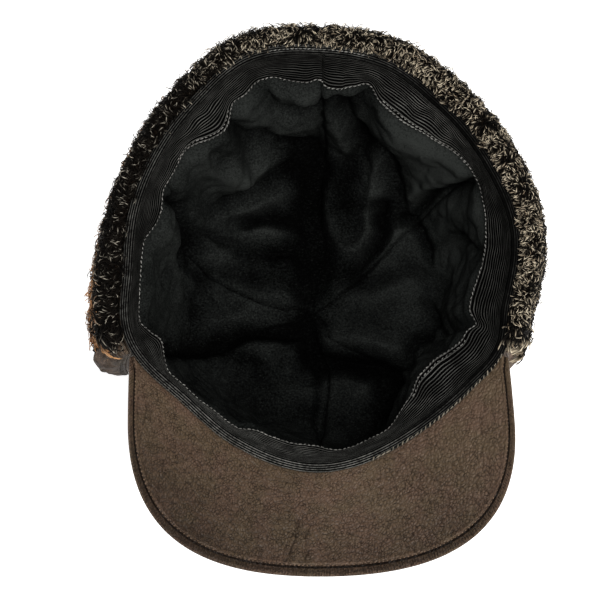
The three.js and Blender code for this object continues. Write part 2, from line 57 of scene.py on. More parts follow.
look_right = Vector((0, 1, 0)).cross(look_back).normalized()
look_up = look_back.cross(look_right)
camera = bpy.data.objects.new("camera", bpy.data.cameras.new("camera"))
camera.data.sensor_width = 36
camera.data.lens = FOCAL_PIXELS / 600 * 36
camera.data.clip_start = 0.05
turned = Matrix((look_right, look_up, look_back)).transposed().to_4x4()
camera.matrix_world = Matrix.Translation(eye / 1000) @ turned
scene.collection.objects.link(camera)
scene.camera = camera


def seen_at(points):
    """Where points (..., 3) in millimetres show in view."""
    away = points - np.array(eye)
    depth = -(away @ np.array(look_back))
    across = away @ np.array(look_right) / depth * FOCAL_PIXELS
    down = -(away @ np.array(look_up)) / depth * FOCAL_PIXELS
    return 300 + across, 300 + down


class Wire:
    """An output of a node, on which arithmetic adds Math nodes."""

    def __init__(self, build, socket):
        self.build, self.socket = build, socket

    def __getitem__(self, output):
        return Wire(self.build, self.socket.node.outputs[output])

    def math(self, operation, *others):
        return self.build.node("ShaderNodeMath", {"operation": operation}, [self, *others])

    def __add__(self, other):
        return self.math("ADD", other)

    def __sub__(self, other):
        return self.math("SUBTRACT", other)

    def __mul__(self, other):
        return self.math("MULTIPLY", other)

    def __rsub__(self, other):
        return self.build.node("ShaderNodeMath", {"operation": "SUBTRACT"}, [other, self])

    __radd__ = __add__
    __rmul__ = __mul__


class Build:
    """A node tree, with one method that adds any node."""

    def __init__(self, tree):
        self.tree = tree

    def node(self, kind, settings=None, inputs=()):
        made = self.tree.nodes.new(kind)
        for key, value in (settings or {}).items():
            if key == "stops":
                ramp = made.color_ramp
                while len(ramp.elements) < len(value):
                    ramp.elements.new(1)
                for stop, (place, colour) in zip(ramp.elements, value):
                    stop.position, stop.color = place, (*colour, 1)
            else:
                setattr(made, key, value)
        open_inputs = [socket for socket in made.inputs if socket.enabled]
        pairs = inputs.items() if isinstance(inputs, dict) else enumerate(inputs)
        for at, value in pairs:
            if value is None:
                continue
            named = at if isinstance(at, int) else [socket.name for socket in open_inputs].index(at)
            socket = open_inputs[named]
            if isinstance(value, Wire):
                self.tree.links.new(value.socket, socket)
            else:
                socket.default_value = value
        out = next((socket for socket in made.outputs if socket.enabled), None)
        return Wire(self, out) if out else made


class Finish(Build):
    """A surface finish: a material whose even values sit on the shader's own sockets."""

    def __init__(self, name, even):
        self.material = bpy.data.materials.new(name)
        self.material.use_nodes = True
        super().__init__(self.material.node_tree)
        self.shader = self.tree.nodes["Principled BSDF"]
        for socket, value in even.items():
            self.shader.inputs[socket].default_value = value
        self.place = self.node("ShaderNodeTexCoord")["Object"]

    def mottle(self, size, detail=3, roughness=0.5, at=None):
        """Even noise, 0 to 1, with lumps of a size in millimetres."""
        scale = {"Scale": 1000 / size, "Detail": detail, "Roughness": roughness}
        return self.node("ShaderNodeTexNoise", {}, {"Vector": at or self.place, **scale})

    def blend(self, share, one, other, how="MIX"):
        """From one colour to the other."""
        ends = [(*c, 1) if isinstance(c, tuple) else c for c in (one, other)]
        return self.node("ShaderNodeMix", {"data_type": "RGBA", "blend_type": how}, [share, *ends])

    def between(self, wire, low, high):
        """The wire's share of the way from low to high, kept within 0 and 1."""
        return self.node("ShaderNodeMapRange", {"interpolation_type": "SMOOTHSTEP"}, [wire, low, high])

    def relief(self, height, depth, under=None):
        """A bump whose full height is a depth in millimetres."""
        return self.node("ShaderNodeBump", {}, {"Height": height, "Distance": depth / 1000, "Normal": under})

    def feed(self, **wires):
        for socket, wire in wires.items():
            self.tree.links.new(wire.socket, self.shader.inputs[socket.replace("_", " ")])
        return self.material


table_mesh = bpy.data.meshes.new("table")
TABLE_HALF = 4
table_mesh.from_pydata(
    [(x * TABLE_HALF, y * TABLE_HALF, -0.0002) for x, y in ((-1, -1), (1, -1), (1, 1), (-1, 1))],
    [],
    [(0, 1, 2, 3)],
)
table = bpy.data.objects.new("table", table_mesh)
scene.collection.objects.link(table)
pale = Finish(
    "pale_table",
    {
        "Roughness": 0.9,
        "Specular IOR Level": 0.1,
        "Emission Color": (1, 1, 1, 1),
        "Emission Strength": 0.8,
    },
)
cloudy = pale.mottle(400, 2)
table_mesh.materials.append(
    pale.feed(Base_Color=pale.blend(cloudy, (0.9, 0.9, 0.9), (0.93, 0.93, 0.925)))
)

sky = bpy.data.worlds.new("sky")
sky.use_nodes = True
sky.node_tree.nodes["Background"].inputs["Color"].default_value = (1, 0.99, 0.975, 1)
sky.node_tree.nodes["Background"].inputs["Strength"].default_value = 0.22
scene.world = sky
LAMPS = (
    ("lamp_above", (0.0, 0.05, 1.6), 0.5, 16, (1.0, 0.985, 0.96)),
    ("lamp_front", (0.45, -0.5, 1.05), 0.22, 7, (1.0, 0.97, 0.93)),
)
for name, place_at, size, watts, tint in LAMPS:
    lamp = bpy.data.objects.new(name, bpy.data.lights.new(name, "AREA"))
    lamp.data.size = size
    lamp.data.energy = watts
    lamp.data.color = tint
    lamp.location = place_at
    towards_hat = Vector((0, 0, 0.08)) - lamp.location
    lamp.rotation_euler = towards_hat.to_track_quat("-Z", "Y").to_euler()
    scene.collection.objects.link(lamp)

# Crown
# Six panels of soft brown leather are sewn edge to edge and topstitched on both sides of each seam.
# Upside down, the top of the crown is flat on the table and the leather above it is slumped and creased.
RIM_REACH = 92
CROWN_DEPTH = 108
FRONT_DIP = 8
REST_SHARE = 0.5
DOME_POWER = 2.4
CROWN_SWELL = 9
SLUMP_RIGHT = 8
SLUMP_FORWARD = 16
CROWN_LEATHER = 1.3
SEAM_GAP = 0.4
GAP = 0.5
PEAK_END = 118
PANELS = ("back_right", "side_right", "front_right", "front_left", "side_left", "back_left")
# Bearing, reach as a share of RIM_REACH, swell of CROWN_SWELL and pile of PILE_DEPTH
RIM_SECTIONS = np.array(
    [
        (0, 1.038, 0.25, 0.92),
        (20, 1.028, 0.55, 1.08),
        (36, 0.985, 0.75, 1.22),
        (60, 0.973, 0.8, 1.2),
        (82, 0.992, 0.72, 1.06),
        (104, 0.968, 0.66, 0.82),
        (117, 1.01, 0.66, 0.62),
        (131, 0.981, 0.85, 0.85),
        (150, 0.98, 0.95, 0.85),
        (180, 1.035, 0.95, 0.85),
        (206, 0.999, 0.95, 0.95),
        (224, 0.974, 0.95, 1.0),
        (247, 1.027, 0.85, 1.2),
        (266, 0.957, 0.8, 1.3),
        (284, 0.952, 0.55, 0.95),
        (304, 0.962, 0.55, 0.92),
        (322, 0.995, 0.55, 0.96),
        (340, 1.058, 0.4, 0.9),
    ]
)


def round_table(column, bearing):
    """A column of the rim's sections at any bearing, on a smooth closed curve through its rows."""
    at = np.mod(bearing, 360)
    starts, values = RIM_SECTIONS[:, 0], RIM_SECTIONS[:, column]
    count = len(starts)
    k = np.searchsorted(starts, at, side="right") - 1
    a, b, c, d = (values[(k + step) % count] for step in (-1, 0, 1, 2))
    t = (at - starts[k]) / np.mod(starts[(k + 1) % count] - starts[k], 360)
    return b + 0.5 * t * (c - a + t * (2 * a - 5 * b + 4 * c - d + t * (3 * (b - c) + d - a)))


def rim_reach(bearing):
    return RIM_REACH * round_table(1, bearing)


def turn(start, end):
    """Degrees from one bearing to another the short way round."""
    return np.mod(end - start + 180, 360) - 180


def rim_height(bearing):
    side = np.minimum(1, np.abs(turn(180, bearing)) / (180 - PEAK_END))
    return CROWN_DEPTH - FRONT_DIP * 0.5 * (1 + np.cos(np.pi * side))


def crown_reach(bearing, height):
    """Outside of the crown at a height, from its leaning axis."""
    share = np.clip(height / rim_height(bearing), 0, 1)
    dome = (1 - (1 - share) ** DOME_POWER) ** (1 / DOME_POWER)
    reach = rim_reach(bearing) * (REST_SHARE + (1 - REST_SHARE) * dome)
    return reach + CROWN_SWELL * round_table(2, bearing) * np.sin(np.pi * share)


def place(bearing, reach, height):
    """A point by bearing, distance from the leaning axis and height."""
    slump = 1 - np.clip(height / CROWN_DEPTH, 0, 1)
    angle = np.radians(bearing)
    x = SLUMP_RIGHT * slump + reach * np.sin(angle)
    y = -SLUMP_FORWARD * slump + reach * np.cos(angle)
    return np.stack(np.broadcast_arrays(x, y, height), axis=-1)


def smooth(value, start, end):
    share = np.clip((value - start) / (end - start), 0, 1)
    return share * share * (3 - 2 * share)


def side_height(bearing, sweep):
    """Height on the crown's side at a share of its sweep from the flat top, 0, to the rim, 1."""
    return rim_height(bearing) * (1 - np.cos(sweep * np.pi / 2) ** (2 / DOME_POWER))


FLAT_SHARE = 0.3


def wall(bearing, along, top_sweep, inset=0):
    """Distance from the axis and height at a share of the way from the middle of the crown's flat top to
    the rim, at an inset square to the crown's outer face."""

    def section(at):
        flat = rim_reach(bearing) * REST_SHARE * at / FLAT_SHARE
        sweep = np.clip((at - FLAT_SHARE) / (1 - FLAT_SHARE), 0, 1) * top_sweep
        height = side_height(bearing, sweep)
        on_flat = at <= FLAT_SHARE
        return np.where(on_flat, flat, crown_reach(bearing, height)), np.where(on_flat, 0, height)

    reach, height = section(along)
    before, after = section(np.maximum(0, along - 0.02)), section(np.minimum(1, along + 0.02))
    run, rise = after[0] - before[0], after[1] - before[1]
    length = np.hypot(run, rise)
    return reach - rise / length * inset, height + run / length * inset


def lumps(points, size, seed):
    """Smooth noise between about -1 and 1 at points in millimetres."""
    shift = Vector((seed * 17.3, seed * -9.1, seed * 5.7))
    flat = points.reshape(-1, 3) / size
    values = [noise.noise(Vector(p) + shift) for p in flat.tolist()]
    return np.array(values).reshape(points.shape[:-1]) * 1.6


def creases(points, size, seed):
    """Narrow valleys between rounded swells, 0 in a valley's bottom and up to 1 on a swell."""
    return np.abs(lumps(points, size, seed)) ** 0.6


def closed_sheet(name, front, back, loop=False, size=None, plain_back=8, marks=None):
    """A closed mesh between two faces laid out as columns by rows of points, where the back keeps one row
    in every few. Its UV map is in millimetres, or as long and deep as size says. Marks are values at
    the points of the front, kept as attributes."""
    columns, rows = front.shape[:2]
    kept = np.unique(np.append(np.arange(0, rows, plain_back), rows - 1))
    points = np.concatenate([front.reshape(-1, 3), back[:, kept].reshape(-1, 3)]) / 1000
    spans = columns if loop else columns - 1
    first_back = columns * rows
    quads, places = [], []

    def add(corners, column_row):
        quads.append(np.stack(corners, axis=-1))
        places.append(np.stack([np.stack(np.broadcast_arrays(*c), -1) for c in column_row], 1))

    i, j = (grid.ravel() for grid in np.meshgrid(np.arange(spans), np.arange(rows - 1), indexing="ij"))
    i_next = (i + 1) % columns
    add(
        (i * rows + j, i_next * rows + j, i_next * rows + j + 1, i * rows + j + 1),
        ((i, j), (i + 1, j), (i + 1, j + 1), (i, j + 1)),
    )
    deep = len(kept)
    i, j = (grid.ravel() for grid in np.meshgrid(np.arange(spans), np.arange(deep - 1), indexing="ij"))
    a, b = first_back + i * deep + j, first_back + (i + 1) % columns * deep + j
    add((a, a + 1, b + 1, b), ((i, kept[j]), (i, kept[j + 1]), (i + 1, kept[j + 1]), (i + 1, kept[j])))
    i = np.arange(spans)
    i_next = (i + 1) % columns
    for row, at, flip in ((0, 0, False), (rows - 1, deep - 1, True)):
        corners = [i * rows + row, first_back + i * deep + at, first_back + i_next * deep + at, i_next * rows + row]
        spots = [(i, row), (i, row), (i + 1, row), (i + 1, row)]
        add(corners[::-1] if flip else corners, spots[::-1] if flip else spots)
    quads, places = np.concatenate(quads), np.concatenate(places).reshape(-1, 2).astype(float)
    faces, spots = quads.tolist(), places.tolist()
    for column in () if loop else (0, columns - 1):
        for k in range(deep - 1):
            edge = [first_back + column * deep + k + 1, first_back + column * deep + k]
            face = edge + [column * rows + row for row in range(kept[k], kept[k + 1] + 1)]
            spot = [(column, kept[k + 1]), (column, kept[k])]
            spot += [(column, row) for row in range(kept[k], kept[k + 1] + 1)]
            faces.append(face[::-1] if column else face)
            spots += spot[::-1] if column else spot
    a, b, c, d = (points[quads[:, k]] for k in range(4))
    volume = np.einsum("ij,ij->", a, np.cross(b, c)) + np.einsum("ij,ij->", a, np.cross(c, d))
    if volume < 0:
        turned_spots, at = [], 0
        for face in faces:
            turned_spots += spots[at : at + len(face)][::-1]
            at += len(face)
        faces, spots = [face[::-1] for face in faces], turned_spots
    mesh = bpy.data.meshes.new(name)
    mesh.from_pydata(points.tolist(), [], faces)
    if size is None:
        along = np.linalg.norm(np.diff(front, axis=0), axis=-1).sum(0).max()
        size = (along, np.linalg.norm(np.diff(front, axis=1), axis=-1).sum(1).max())
    uv = mesh.uv_layers.new(name="cloth")
    scale = (size[0] / spans, size[1] / (rows - 1))
    uv.data.foreach_set("uv", (np.array(spots) * scale).astype(np.float32).ravel())
    for label, values in (marks or {}).items():
        whole = np.concatenate([values.ravel(), np.zeros(columns * deep)]).astype(np.float32)
        mesh.attributes.new(label, "FLOAT", "POINT").data.foreach_set("value", whole)
    return finished(name, mesh)


def finished(name, mesh, merge=1e-6, crease=50):
    """A piece of the hat from its mesh: doubles merged, flat faces dropped, smooth but for its edges."""
    work = bmesh.new()
    work.from_mesh(mesh)
    bmesh.ops.remove_doubles(work, verts=work.verts, dist=merge)
    bmesh.ops.dissolve_degenerate(work, edges=work.edges, dist=merge)
    work.to_mesh(mesh)
    work.free()
    mesh.polygons.foreach_set("use_smooth", [True] * len(mesh.polygons))
    mesh.set_sharp_from_angle(angle=math.radians(crease))
    piece = bpy.data.objects.new(name, mesh)
    scene.collection.objects.link(piece)
    return piece


def dress(piece, finish, slot, *nodes):
    """Gives a piece its finish, its place on the hat and the solids that it stands for."""
    if finish is not None:
        piece.data.materials.clear()
        piece.data.materials.append(finish)
    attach(piece, "root")
    if nodes:
        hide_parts(*nodes)


def soft_leather(name, dark, light, grain_depth=0.7, roughness=0.5, painted_light_slope=(1.6, 0, 0, 0)):
    """Soft brown nappa: cells about a millimetre across between fine dark crinkles, and cloudy colour, with
    painted emboss shading that makes each pebble lighter on one side. It is painted near black where a seam
    mark is 1, as painted shade in a stitched groove, and has fine gathers where a gather mark is 1, which
    also paint light on the gathers' crests and shade between them. The wrinkle mark adds crinkles and painted
    shade in wrinkles, and the ridge mark a painted highlight. The painted light slope lightens it per metre
    to the right, to the back and away from the middle, and evenly."""
    hide = Finish(name, {"Specular IOR Level": 0.3})
    warp = hide.node(
        "ShaderNodeVectorMath",
        {"operation": "MULTIPLY_ADD"},
        [hide.mottle(3, 3)["Color"], (0.0026, 0.0026, 0.0026), hide.place],
    )
    turned = hide.node("ShaderNodeVectorRotate", {"rotation_type": "Z_AXIS"}, {"Vector": warp, "Angle": 0.5})
    drawn = hide.node("ShaderNodeVectorMath", {"operation": "MULTIPLY"}, [turned, (1, 0.6, 0.8)])
    cells = hide.node("ShaderNodeTexVoronoi", {"feature": "DISTANCE_TO_EDGE"}, {"Vector": drawn, "Scale": 900})
    crinkle = 1 - hide.between(cells, 0.0, 0.11)
    pebbles = hide.node("ShaderNodeTexVoronoi", {"feature": "F1"}, {"Vector": drawn, "Scale": 900})
    # Painted emboss shading: the pebbles looked up a little to one side, so each pebble is painted lighter on one slope
    # and darker on the other.
    shifted_for_painted_emboss = hide.node("ShaderNodeVectorMath", {"operation": "ADD"}, [drawn, (-0.0002, 0.0003, 0)])
    pebbles_for_painted_emboss = hide.node("ShaderNodeTexVoronoi", {"feature": "F1"}, {"Vector": shifted_for_painted_emboss, "Scale": 900})
    # The wrinkle mark, 1 in the underside's wrinkles, adds crinkles there and paints them darker as painted shade.
    worked = hide.node("ShaderNodeAttribute", {"attribute_name": "worked"})["Fac"]
    folds = hide.node(
        "ShaderNodeTexNoise",
        {"noise_type": "RIDGED_MULTIFRACTAL", "normalize": True},
        {"Vector": drawn, "Scale": 420, "Detail": 4, "Roughness": 0.65, "Lacunarity": 2.2},
    )
    line = hide.between(folds, 0.35, 0.8)
    wide_folds = hide.node(
        "ShaderNodeTexNoise",
        {"noise_type": "RIDGED_MULTIFRACTAL", "normalize": True},
        {"Vector": warp, "Scale": 110, "Detail": 2, "Roughness": 0.5},
    )
    furrow = hide.between(wide_folds, 0.5, 0.9)
    cloud = hide.mottle(34, 4, 0.6)
    speck = hide.mottle(0.7, 2, 0.6)
    seam = hide.node("ShaderNodeAttribute", {"attribute_name": "seam"})["Fac"]
    gather = hide.node("ShaderNodeAttribute", {"attribute_name": "gather"})["Fac"]
    run = hide.node("ShaderNodeAttribute", {"attribute_name": "run"})["Fac"]
    # The gathers' pleats are both bump and colour: painted lighter on their crests and darker between them, as painted
    # light and shade.
    pleat = (run * (2 * math.pi / 1.7) + hide.mottle(5, 2) * 9).math("SINE") * gather
    patchy = hide.between(hide.mottle(4, 4, 0.65), 0.42, 0.62)
    worn = crinkle * (0.2 + 0.8 * patchy) * (1 + worked)
    # Painted highlight along the raised ridge beside the stitched groove and near the roll's outer edge, with the
    # roll's middle painted darker.
    rub = hide.node("ShaderNodeAttribute", {"attribute_name": "rub"})["Fac"]
    height = 0.5 + (0.5 - pebbles) * 0.5 + speck * 0.12 - line * 0.35 - furrow * 0.25 - worn * 0.35 + pleat * 0.2
    spot = hide.node("ShaderNodeSeparateXYZ", {}, [hide.place])
    # Painted light: lighter to the right, to the back, away from the middle and evenly, as the painted light slope
    # says.
    side = spot["X"] * painted_light_slope[0] + spot["Y"] * painted_light_slope[1] + spot["X"].math("ABSOLUTE") * painted_light_slope[2] + painted_light_slope[3]
    tone = hide.between(cloud, 0.3, 0.72) * 0.22 + speck * 0.35 + (pebbles_for_painted_emboss - pebbles) * 0.9 + 0.25
    tone = tone - line * (0.14 + 1.1 * worked) - worn * 0.5 + side + pleat * 0.14 + rub * 0.4
    colour = hide.blend(tone - worked * 0.4, dark, light)
    hue = hide.between(hide.mottle(15, 3, 0.6), 0.35, 0.65)
    colour = hide.blend(1, colour, hide.blend(hue, (1.06, 0.99, 1.02), (0.97, 1.0, 0.93)), "MULTIPLY")
    # Painted shade: near black in the stitched groove where the seam mark is 1.
    colour = hide.blend(seam, colour, (0.008, 0.004, 0.002))
    rough = roughness + line * 0.2 + (cloud - 0.5) * 0.1
    return hide.feed(Base_Color=colour, Roughness=rough, Normal=hide.relief(height, grain_depth))


# The crown and the flap take the default painted light slope, lighter to the right.
crown_hide = soft_leather("crown_leather", (0.02, 0.0125, 0.0075), (0.08, 0.053, 0.033))

CROWN_COLUMNS = 48
CROWN_ROWS = 92
FLAP_HEIGHT = 60
# Free edge of the flap: bearing on either side of the back, height as a share of FLAP_HEIGHT
FLAP_EDGE = np.array([(0, 0.84), (40, 0.86), (72, 0.97), (96, 1.0), (110, 0.95), (117, 0.84)])
PEAK_GAP_AT_END = 2.2
flap_end = PEAK_END - math.degrees(PEAK_GAP_AT_END / RIM_REACH)
HEM_WIDTH = 8.5
pile_end = flap_end - math.degrees(HEM_WIDTH / RIM_REACH)


def flap_drop(bearing):
    return FLAP_HEIGHT * np.interp(np.abs(turn(0, bearing)), FLAP_EDGE[:, 0], FLAP_EDGE[:, 1])


def bare_leather(bearing, height):
    """1 where the crown shows, 0 where the flap or the peak lies on it."""
    behind = np.abs(turn(0, bearing)) < flap_end + 2
    covered_from = rim_height(bearing) - np.where(behind, flap_drop(bearing) + 2, 8)
    return 1 - smooth(height, covered_from - 9, covered_from)


SEWN_GAP = 0.0
SEAM_DIP = 1.0
SEAM_PAD = 0.7
CREASE_DEPTH = 1.5


def crown_panel(number, inset, shaped):
    width = 360 / len(PANELS)
    across = np.linspace(0, 1, CROWN_COLUMNS)[:, None]
    along = np.linspace(0, 1, CROWN_ROWS)[None, :] * np.ones_like(across)
    rough = (number + across) * width
    reach, height = wall(rough, along, 1 - GAP / CROWN_DEPTH, inset)
    least = SEAM_GAP / 2 / math.sin(math.radians(width / 2))
    held = np.maximum(reach, least)
    trim = np.degrees(np.arcsin(SEWN_GAP / 2 / held))
    bearing = number * width + trim + across * (width - 2 * trim)
    if shaped:
        from_seam = held * np.radians(np.minimum(across, 1 - across) * width)
        bare = bare_leather(bearing, height)
        points = place(bearing, held, height)
        stretched = points * (1, 1, 1.7)
        slack = lumps(stretched, 26, 1) * 0.9 + (creases(stretched, 15, 2) - 0.5) * 0.9
        slack = np.maximum(slack, -0.5) * smooth(height, 3, 20) * smooth(from_seam, 2, 14)
        seam = SEAM_PAD * np.exp(-(((from_seam - 3.2) / 2.2) ** 2)) - SEAM_DIP * np.exp(-((from_seam / 1.1) ** 2))
        held = held + (slack * CREASE_DEPTH + seam * smooth(height, 0.5, 4)) * bare
    middle = place((number + 0.5) * width, np.full_like(held, least), height)
    points = place(bearing, held, height)
    return np.where((reach <= least)[..., None], middle, points)


for number, name in enumerate(PANELS):
    panel = closed_sheet(f"crown_leather_{name}", crown_panel(number, 0, True), crown_panel(number, CROWN_LEATHER, False))
    dress(panel, crown_hide, "crown_leather", f"crown_{name}")


def stitch_tree():
    """Geometry Nodes that sew a row of thread stitches along each line of a mesh of edges."""
    tree = bpy.data.node_groups.new("stitch_rows", "GeometryNodeTree")
    tree.interface.new_socket("Lines", in_out="INPUT", socket_type="NodeSocketGeometry")
    for name, kind in (
        ("Pitch", "NodeSocketFloat"),
        ("Stitch length", "NodeSocketFloat"),
        ("Thread", "NodeSocketFloat"),
        ("Slant", "NodeSocketFloat"),
        ("Seed", "NodeSocketInt"),
        ("Finish", "NodeSocketMaterial"),
    ):
        tree.interface.new_socket(name, in_out="INPUT", socket_type=kind)
    tree.interface.new_socket("Stitches", in_out="OUTPUT", socket_type="NodeSocketGeometry")
    sew = Build(tree)
    given = sew.node("NodeGroupInput")
    curves = sew.node("GeometryNodeMeshToCurve", {}, [given["Lines"]])
    points = sew.node(
        "GeometryNodeResampleCurve", {"mode": "LENGTH"}, {"Curve": curves, "Length": given["Pitch"]}
    )
    along = sew.node("GeometryNodeInputTangent")
    facing = sew.node("FunctionNodeAlignRotationToVector", {"axis": "X"}, {"Vector": along})
    jitter = sew.node(
        "FunctionNodeRandomValue",
        {"data_type": "FLOAT_VECTOR"},
        {0: (-0.05, -0.14, -0.42), 1: (0.05, 0.14, 0.42), "Seed": given["Seed"]},
    )
    slanted = sew.node("ShaderNodeCombineXYZ", {}, [None, None, given["Slant"]])
    spin = sew.node("ShaderNodeVectorMath", {"operation": "ADD"}, [jitter, slanted])
    spin = sew.node("FunctionNodeEulerToRotation", {}, [spin])
    facing = sew.node("FunctionNodeRotateRotation", {"rotation_space": "LOCAL"}, [facing, spin])
    size = sew.node("ShaderNodeCombineXYZ", {}, [given["Stitch length"], given["Thread"], given["Thread"]])
    grow = sew.node(
        "FunctionNodeRandomValue", {"data_type": "FLOAT"}, {0: 0.72, 1: 1.18, "Seed": given["Seed"]}
    )
    size = sew.node("ShaderNodeVectorMath", {"operation": "SCALE"}, {"Vector": size, "Scale": grow})
    thread = sew.node("GeometryNodeMeshUVSphere", {}, {"Segments": 6, "Rings": 5, "Radius": 0.5})
    placed = sew.node(
        "GeometryNodeInstanceOnPoints",
        {},
        {"Points": points, "Instance": thread, "Rotation": facing, "Scale": size},
    )
    real = sew.node("GeometryNodeRealizeInstances", {}, [placed])
    real = sew.node("GeometryNodeSetShadeSmooth", {}, {"Geometry": real})
    real = sew.node("GeometryNodeSetMaterial", {}, {"Geometry": real, "Material": given["Finish"]})
    sew.node("NodeGroupOutput", {}, [real])
    return tree


stitch_rows = stitch_tree()


def grown(name, base, tree, values):
    """The plain mesh that a Geometry Nodes tree makes on a base object, which it then takes away."""
    modifier = base.modifiers.new("grow", "NODES")
    modifier.node_group = tree
    for item in tree.interface.items_tree:
        if item.in_out == "INPUT" and item.name in values:
            modifier[item.identifier] = values[item.name]
    graph = bpy.context.evaluated_depsgraph_get()
    mesh = bpy.data.meshes.new_from_object(base.evaluated_get(graph))
    base.modifiers.clear()
    bpy.data.objects.remove(base)
    mesh.name = name
    piece = bpy.data.objects.new(name, mesh)
    scene.collection.objects.link(piece)
    return piece


def sewn(name, lines, finish, pitch, length, thread, slant=0.0, seed=1):
    """Stitches along lines, each an array of points in millimetres."""
    points = np.concatenate(lines) / 1000
    starts = np.cumsum([0] + [len(line) for line in lines])
    edges = [(k, k + 1) for a, b in zip(starts, starts[1:]) for k in range(a, b - 1)]
    mesh = bpy.data.meshes.new(name + "_lines")
    mesh.from_pydata(points.tolist(), edges, [])
    base = bpy.data.objects.new(name + "_lines", mesh)
    scene.collection.objects.link(base)
    sizes = {"Pitch": pitch / 1000, "Stitch length": length / 1000, "Thread": thread / 1000}
    return grown(name, base, stitch_rows, {**sizes, "Slant": slant, "Seed": seed, "Finish": finish})


def spun_thread(name, dark, light):
    """Twisted thread: paler and darker by turns along itself."""
    thread = Finish(name, {"Roughness": 0.75, "Specular IOR Level": 0.2, "Sheen Weight": 0.15})
    ply = thread.mottle(0.35, 2)
    wear = thread.mottle(9, 2)
    tone = thread.between(ply, 0.35, 0.65) * 0.6 + thread.between(wear, 0.35, 0.65) * 0.4
    return thread.feed(Base_Color=thread.blend(tone, dark, light), Normal=thread.relief(ply, 0.08))


brown_thread = spun_thread("brown_thread", (0.02, 0.011, 0.006), (0.1, 0.055, 0.028))
TOPSTITCH_FROM_SEAM = 2.6


def crown_topstitch(bearing_of_seam, side):
    along = np.linspace(0.12, 0.985, 160)
    reach, height = wall(np.full_like(along, bearing_of_seam), along, 1 - GAP / CROWN_DEPTH)
    bearing = bearing_of_seam + side * np.degrees(TOPSTITCH_FROM_SEAM / reach)
    reach, height = wall(bearing, along, 1 - GAP / CROWN_DEPTH)
    lift = SEAM_PAD * bare_leather(bearing, height) * smooth(height, 0.5, 4) + 0.1
    keep = (height > 0.6) & (bare_leather(bearing, height) > 0.05)
    return place(bearing, reach + lift, height)[keep]


seam_lines = [crown_topstitch(60 * k, side) for k in range(6) for side in (-1, 1)]
crown_stitches = sewn("crown_topstitching", seam_lines, brown_thread, 3.2, 2.4, 0.55)
dress(crown_stitches, None, "crown_leather")

# Sweatband
# A ribbed black tape is sewn over the rim, with its lip turned out over the raw edges of the crown and
# the flap. Its wall leans in, and its lower edge waves where grey thread catches it to the lining.
BAND_WALL = 1
BAND_HEIGHT = 24
BAND_ROLL = 1.1
BAND_BEND = 0.7
FLAP_LEATHER = 1.2
flap_face = 2 * GAP + FLAP_LEATHER
band_lip = flap_face - GAP
wall_start = CROWN_LEATHER + GAP
# Bearing, and how far in from the rim the stitched edge shows there in view, in millimetres
BAND_EDGE = np.array(
    [
        (0, 13.6), (2, 17.5), (7, 17.4), (13, 14.6), (15, 12), (18, 14), (20.5, 18), (25, 19), (32, 19),
        (38, 16.4), (45, 13.9), (52.5, 10.8), (59, 8.8), (64.5, 8.8), (73, 11.8), (80, 13.6), (86, 14.9),
        (92, 15.9), (102, 17.4), (110, 18.7), (113, 12.4), (116, 18), (122, 17.8), (132, 20.4),
        (141, 19.8), (145, 16), (151.5, 12.3), (158, 8), (168, 7.8), (175, 7.8), (181, 10.7), (192, 10),
        (201.5, 9.5), (205.5, 6), (212, 5.8), (221, 4.4), (233, 5), (238, 9), (242, 13), (246, 10),
        (250, 6.5), (254, 6.7), (268, 6), (275, 6.6), (281, 11.7), (286, 12.4), (293, 10), (301, 11),
        (308, 9.9), (312, 13), (317, 17.8), (323, 19.5), (327, 18), (330, 13.3), (336, 14.8),
        (339.5, 12.4), (346, 12), (350.5, 15), (356, 16.4),
    ]
)
BAND_COLUMNS = 480
RIB_PITCH = 1.85
LIP_WIDTH = 6.0
LIP_RIBS = 6
RIB_DEPTH = 0.45
ROWS_PER_RIB = 5
band_bearings = np.arange(BAND_COLUMNS) * 360 / BAND_COLUMNS


def band_lower_edge(bearing):
    """Plan place of the band's lower edge, found from where that edge shows in view."""
    wide = np.concatenate([BAND_EDGE[-3:] - (360, 0), BAND_EDGE, BAND_EDGE[:3] + (360, 0)])
    near = np.stack([np.interp(np.mod(bearing + k, 360), *wide.T) for k in np.linspace(-1.4, 1.4, 5)])
    shows = place(bearing, rim_reach(bearing) - near.mean(0), rim_height(bearing))
    from_eye = shows - np.array(eye)
    stretch = (EYE_DISTANCE + BAND_HEIGHT + CROWN_DEPTH - rim_height(bearing)) / EYE_DISTANCE
    return (np.array(eye) + from_eye * stretch[..., None])[..., :2]


def band_sections(bearing, wall_depth, under):
    """The band's profile at each bearing, from the lip over the rim and down to the lower edge."""
    rim = rim_height(bearing)
    reach = rim_reach(bearing)
    roll = BAND_ROLL * (0.6 if under else 1)
    rows = []
    for out, up in ((band_lip, 0.0), (band_lip * 0.62, 0.42), (band_lip * 0.1, 0.6), (-0.9, 0.6), (-(wall_start + wall_depth) * 0.86, 0.45)):
        rows.append(place(bearing, reach + out, rim + wall_depth + roll * up))
    top = place(bearing, reach - wall_start - wall_depth, rim)[..., :2]
    low = band_lower_edge(bearing)
    inward = low / np.linalg.norm(low, axis=-1, keepdims=True)
    low = low + inward * (BAND_WALL - wall_depth)
    for down in (0.06, 0.16, 0.3, 0.45, 0.6, 0.74, 0.87, 1.0):
        share = down * (1 + (down - 1) * BAND_BEND)
        plan = top + (low - top) * share
        rows.append(np.concatenate([plan, (rim - BAND_HEIGHT * down)[..., None]], axis=-1))
    return np.stack(rows, axis=1)


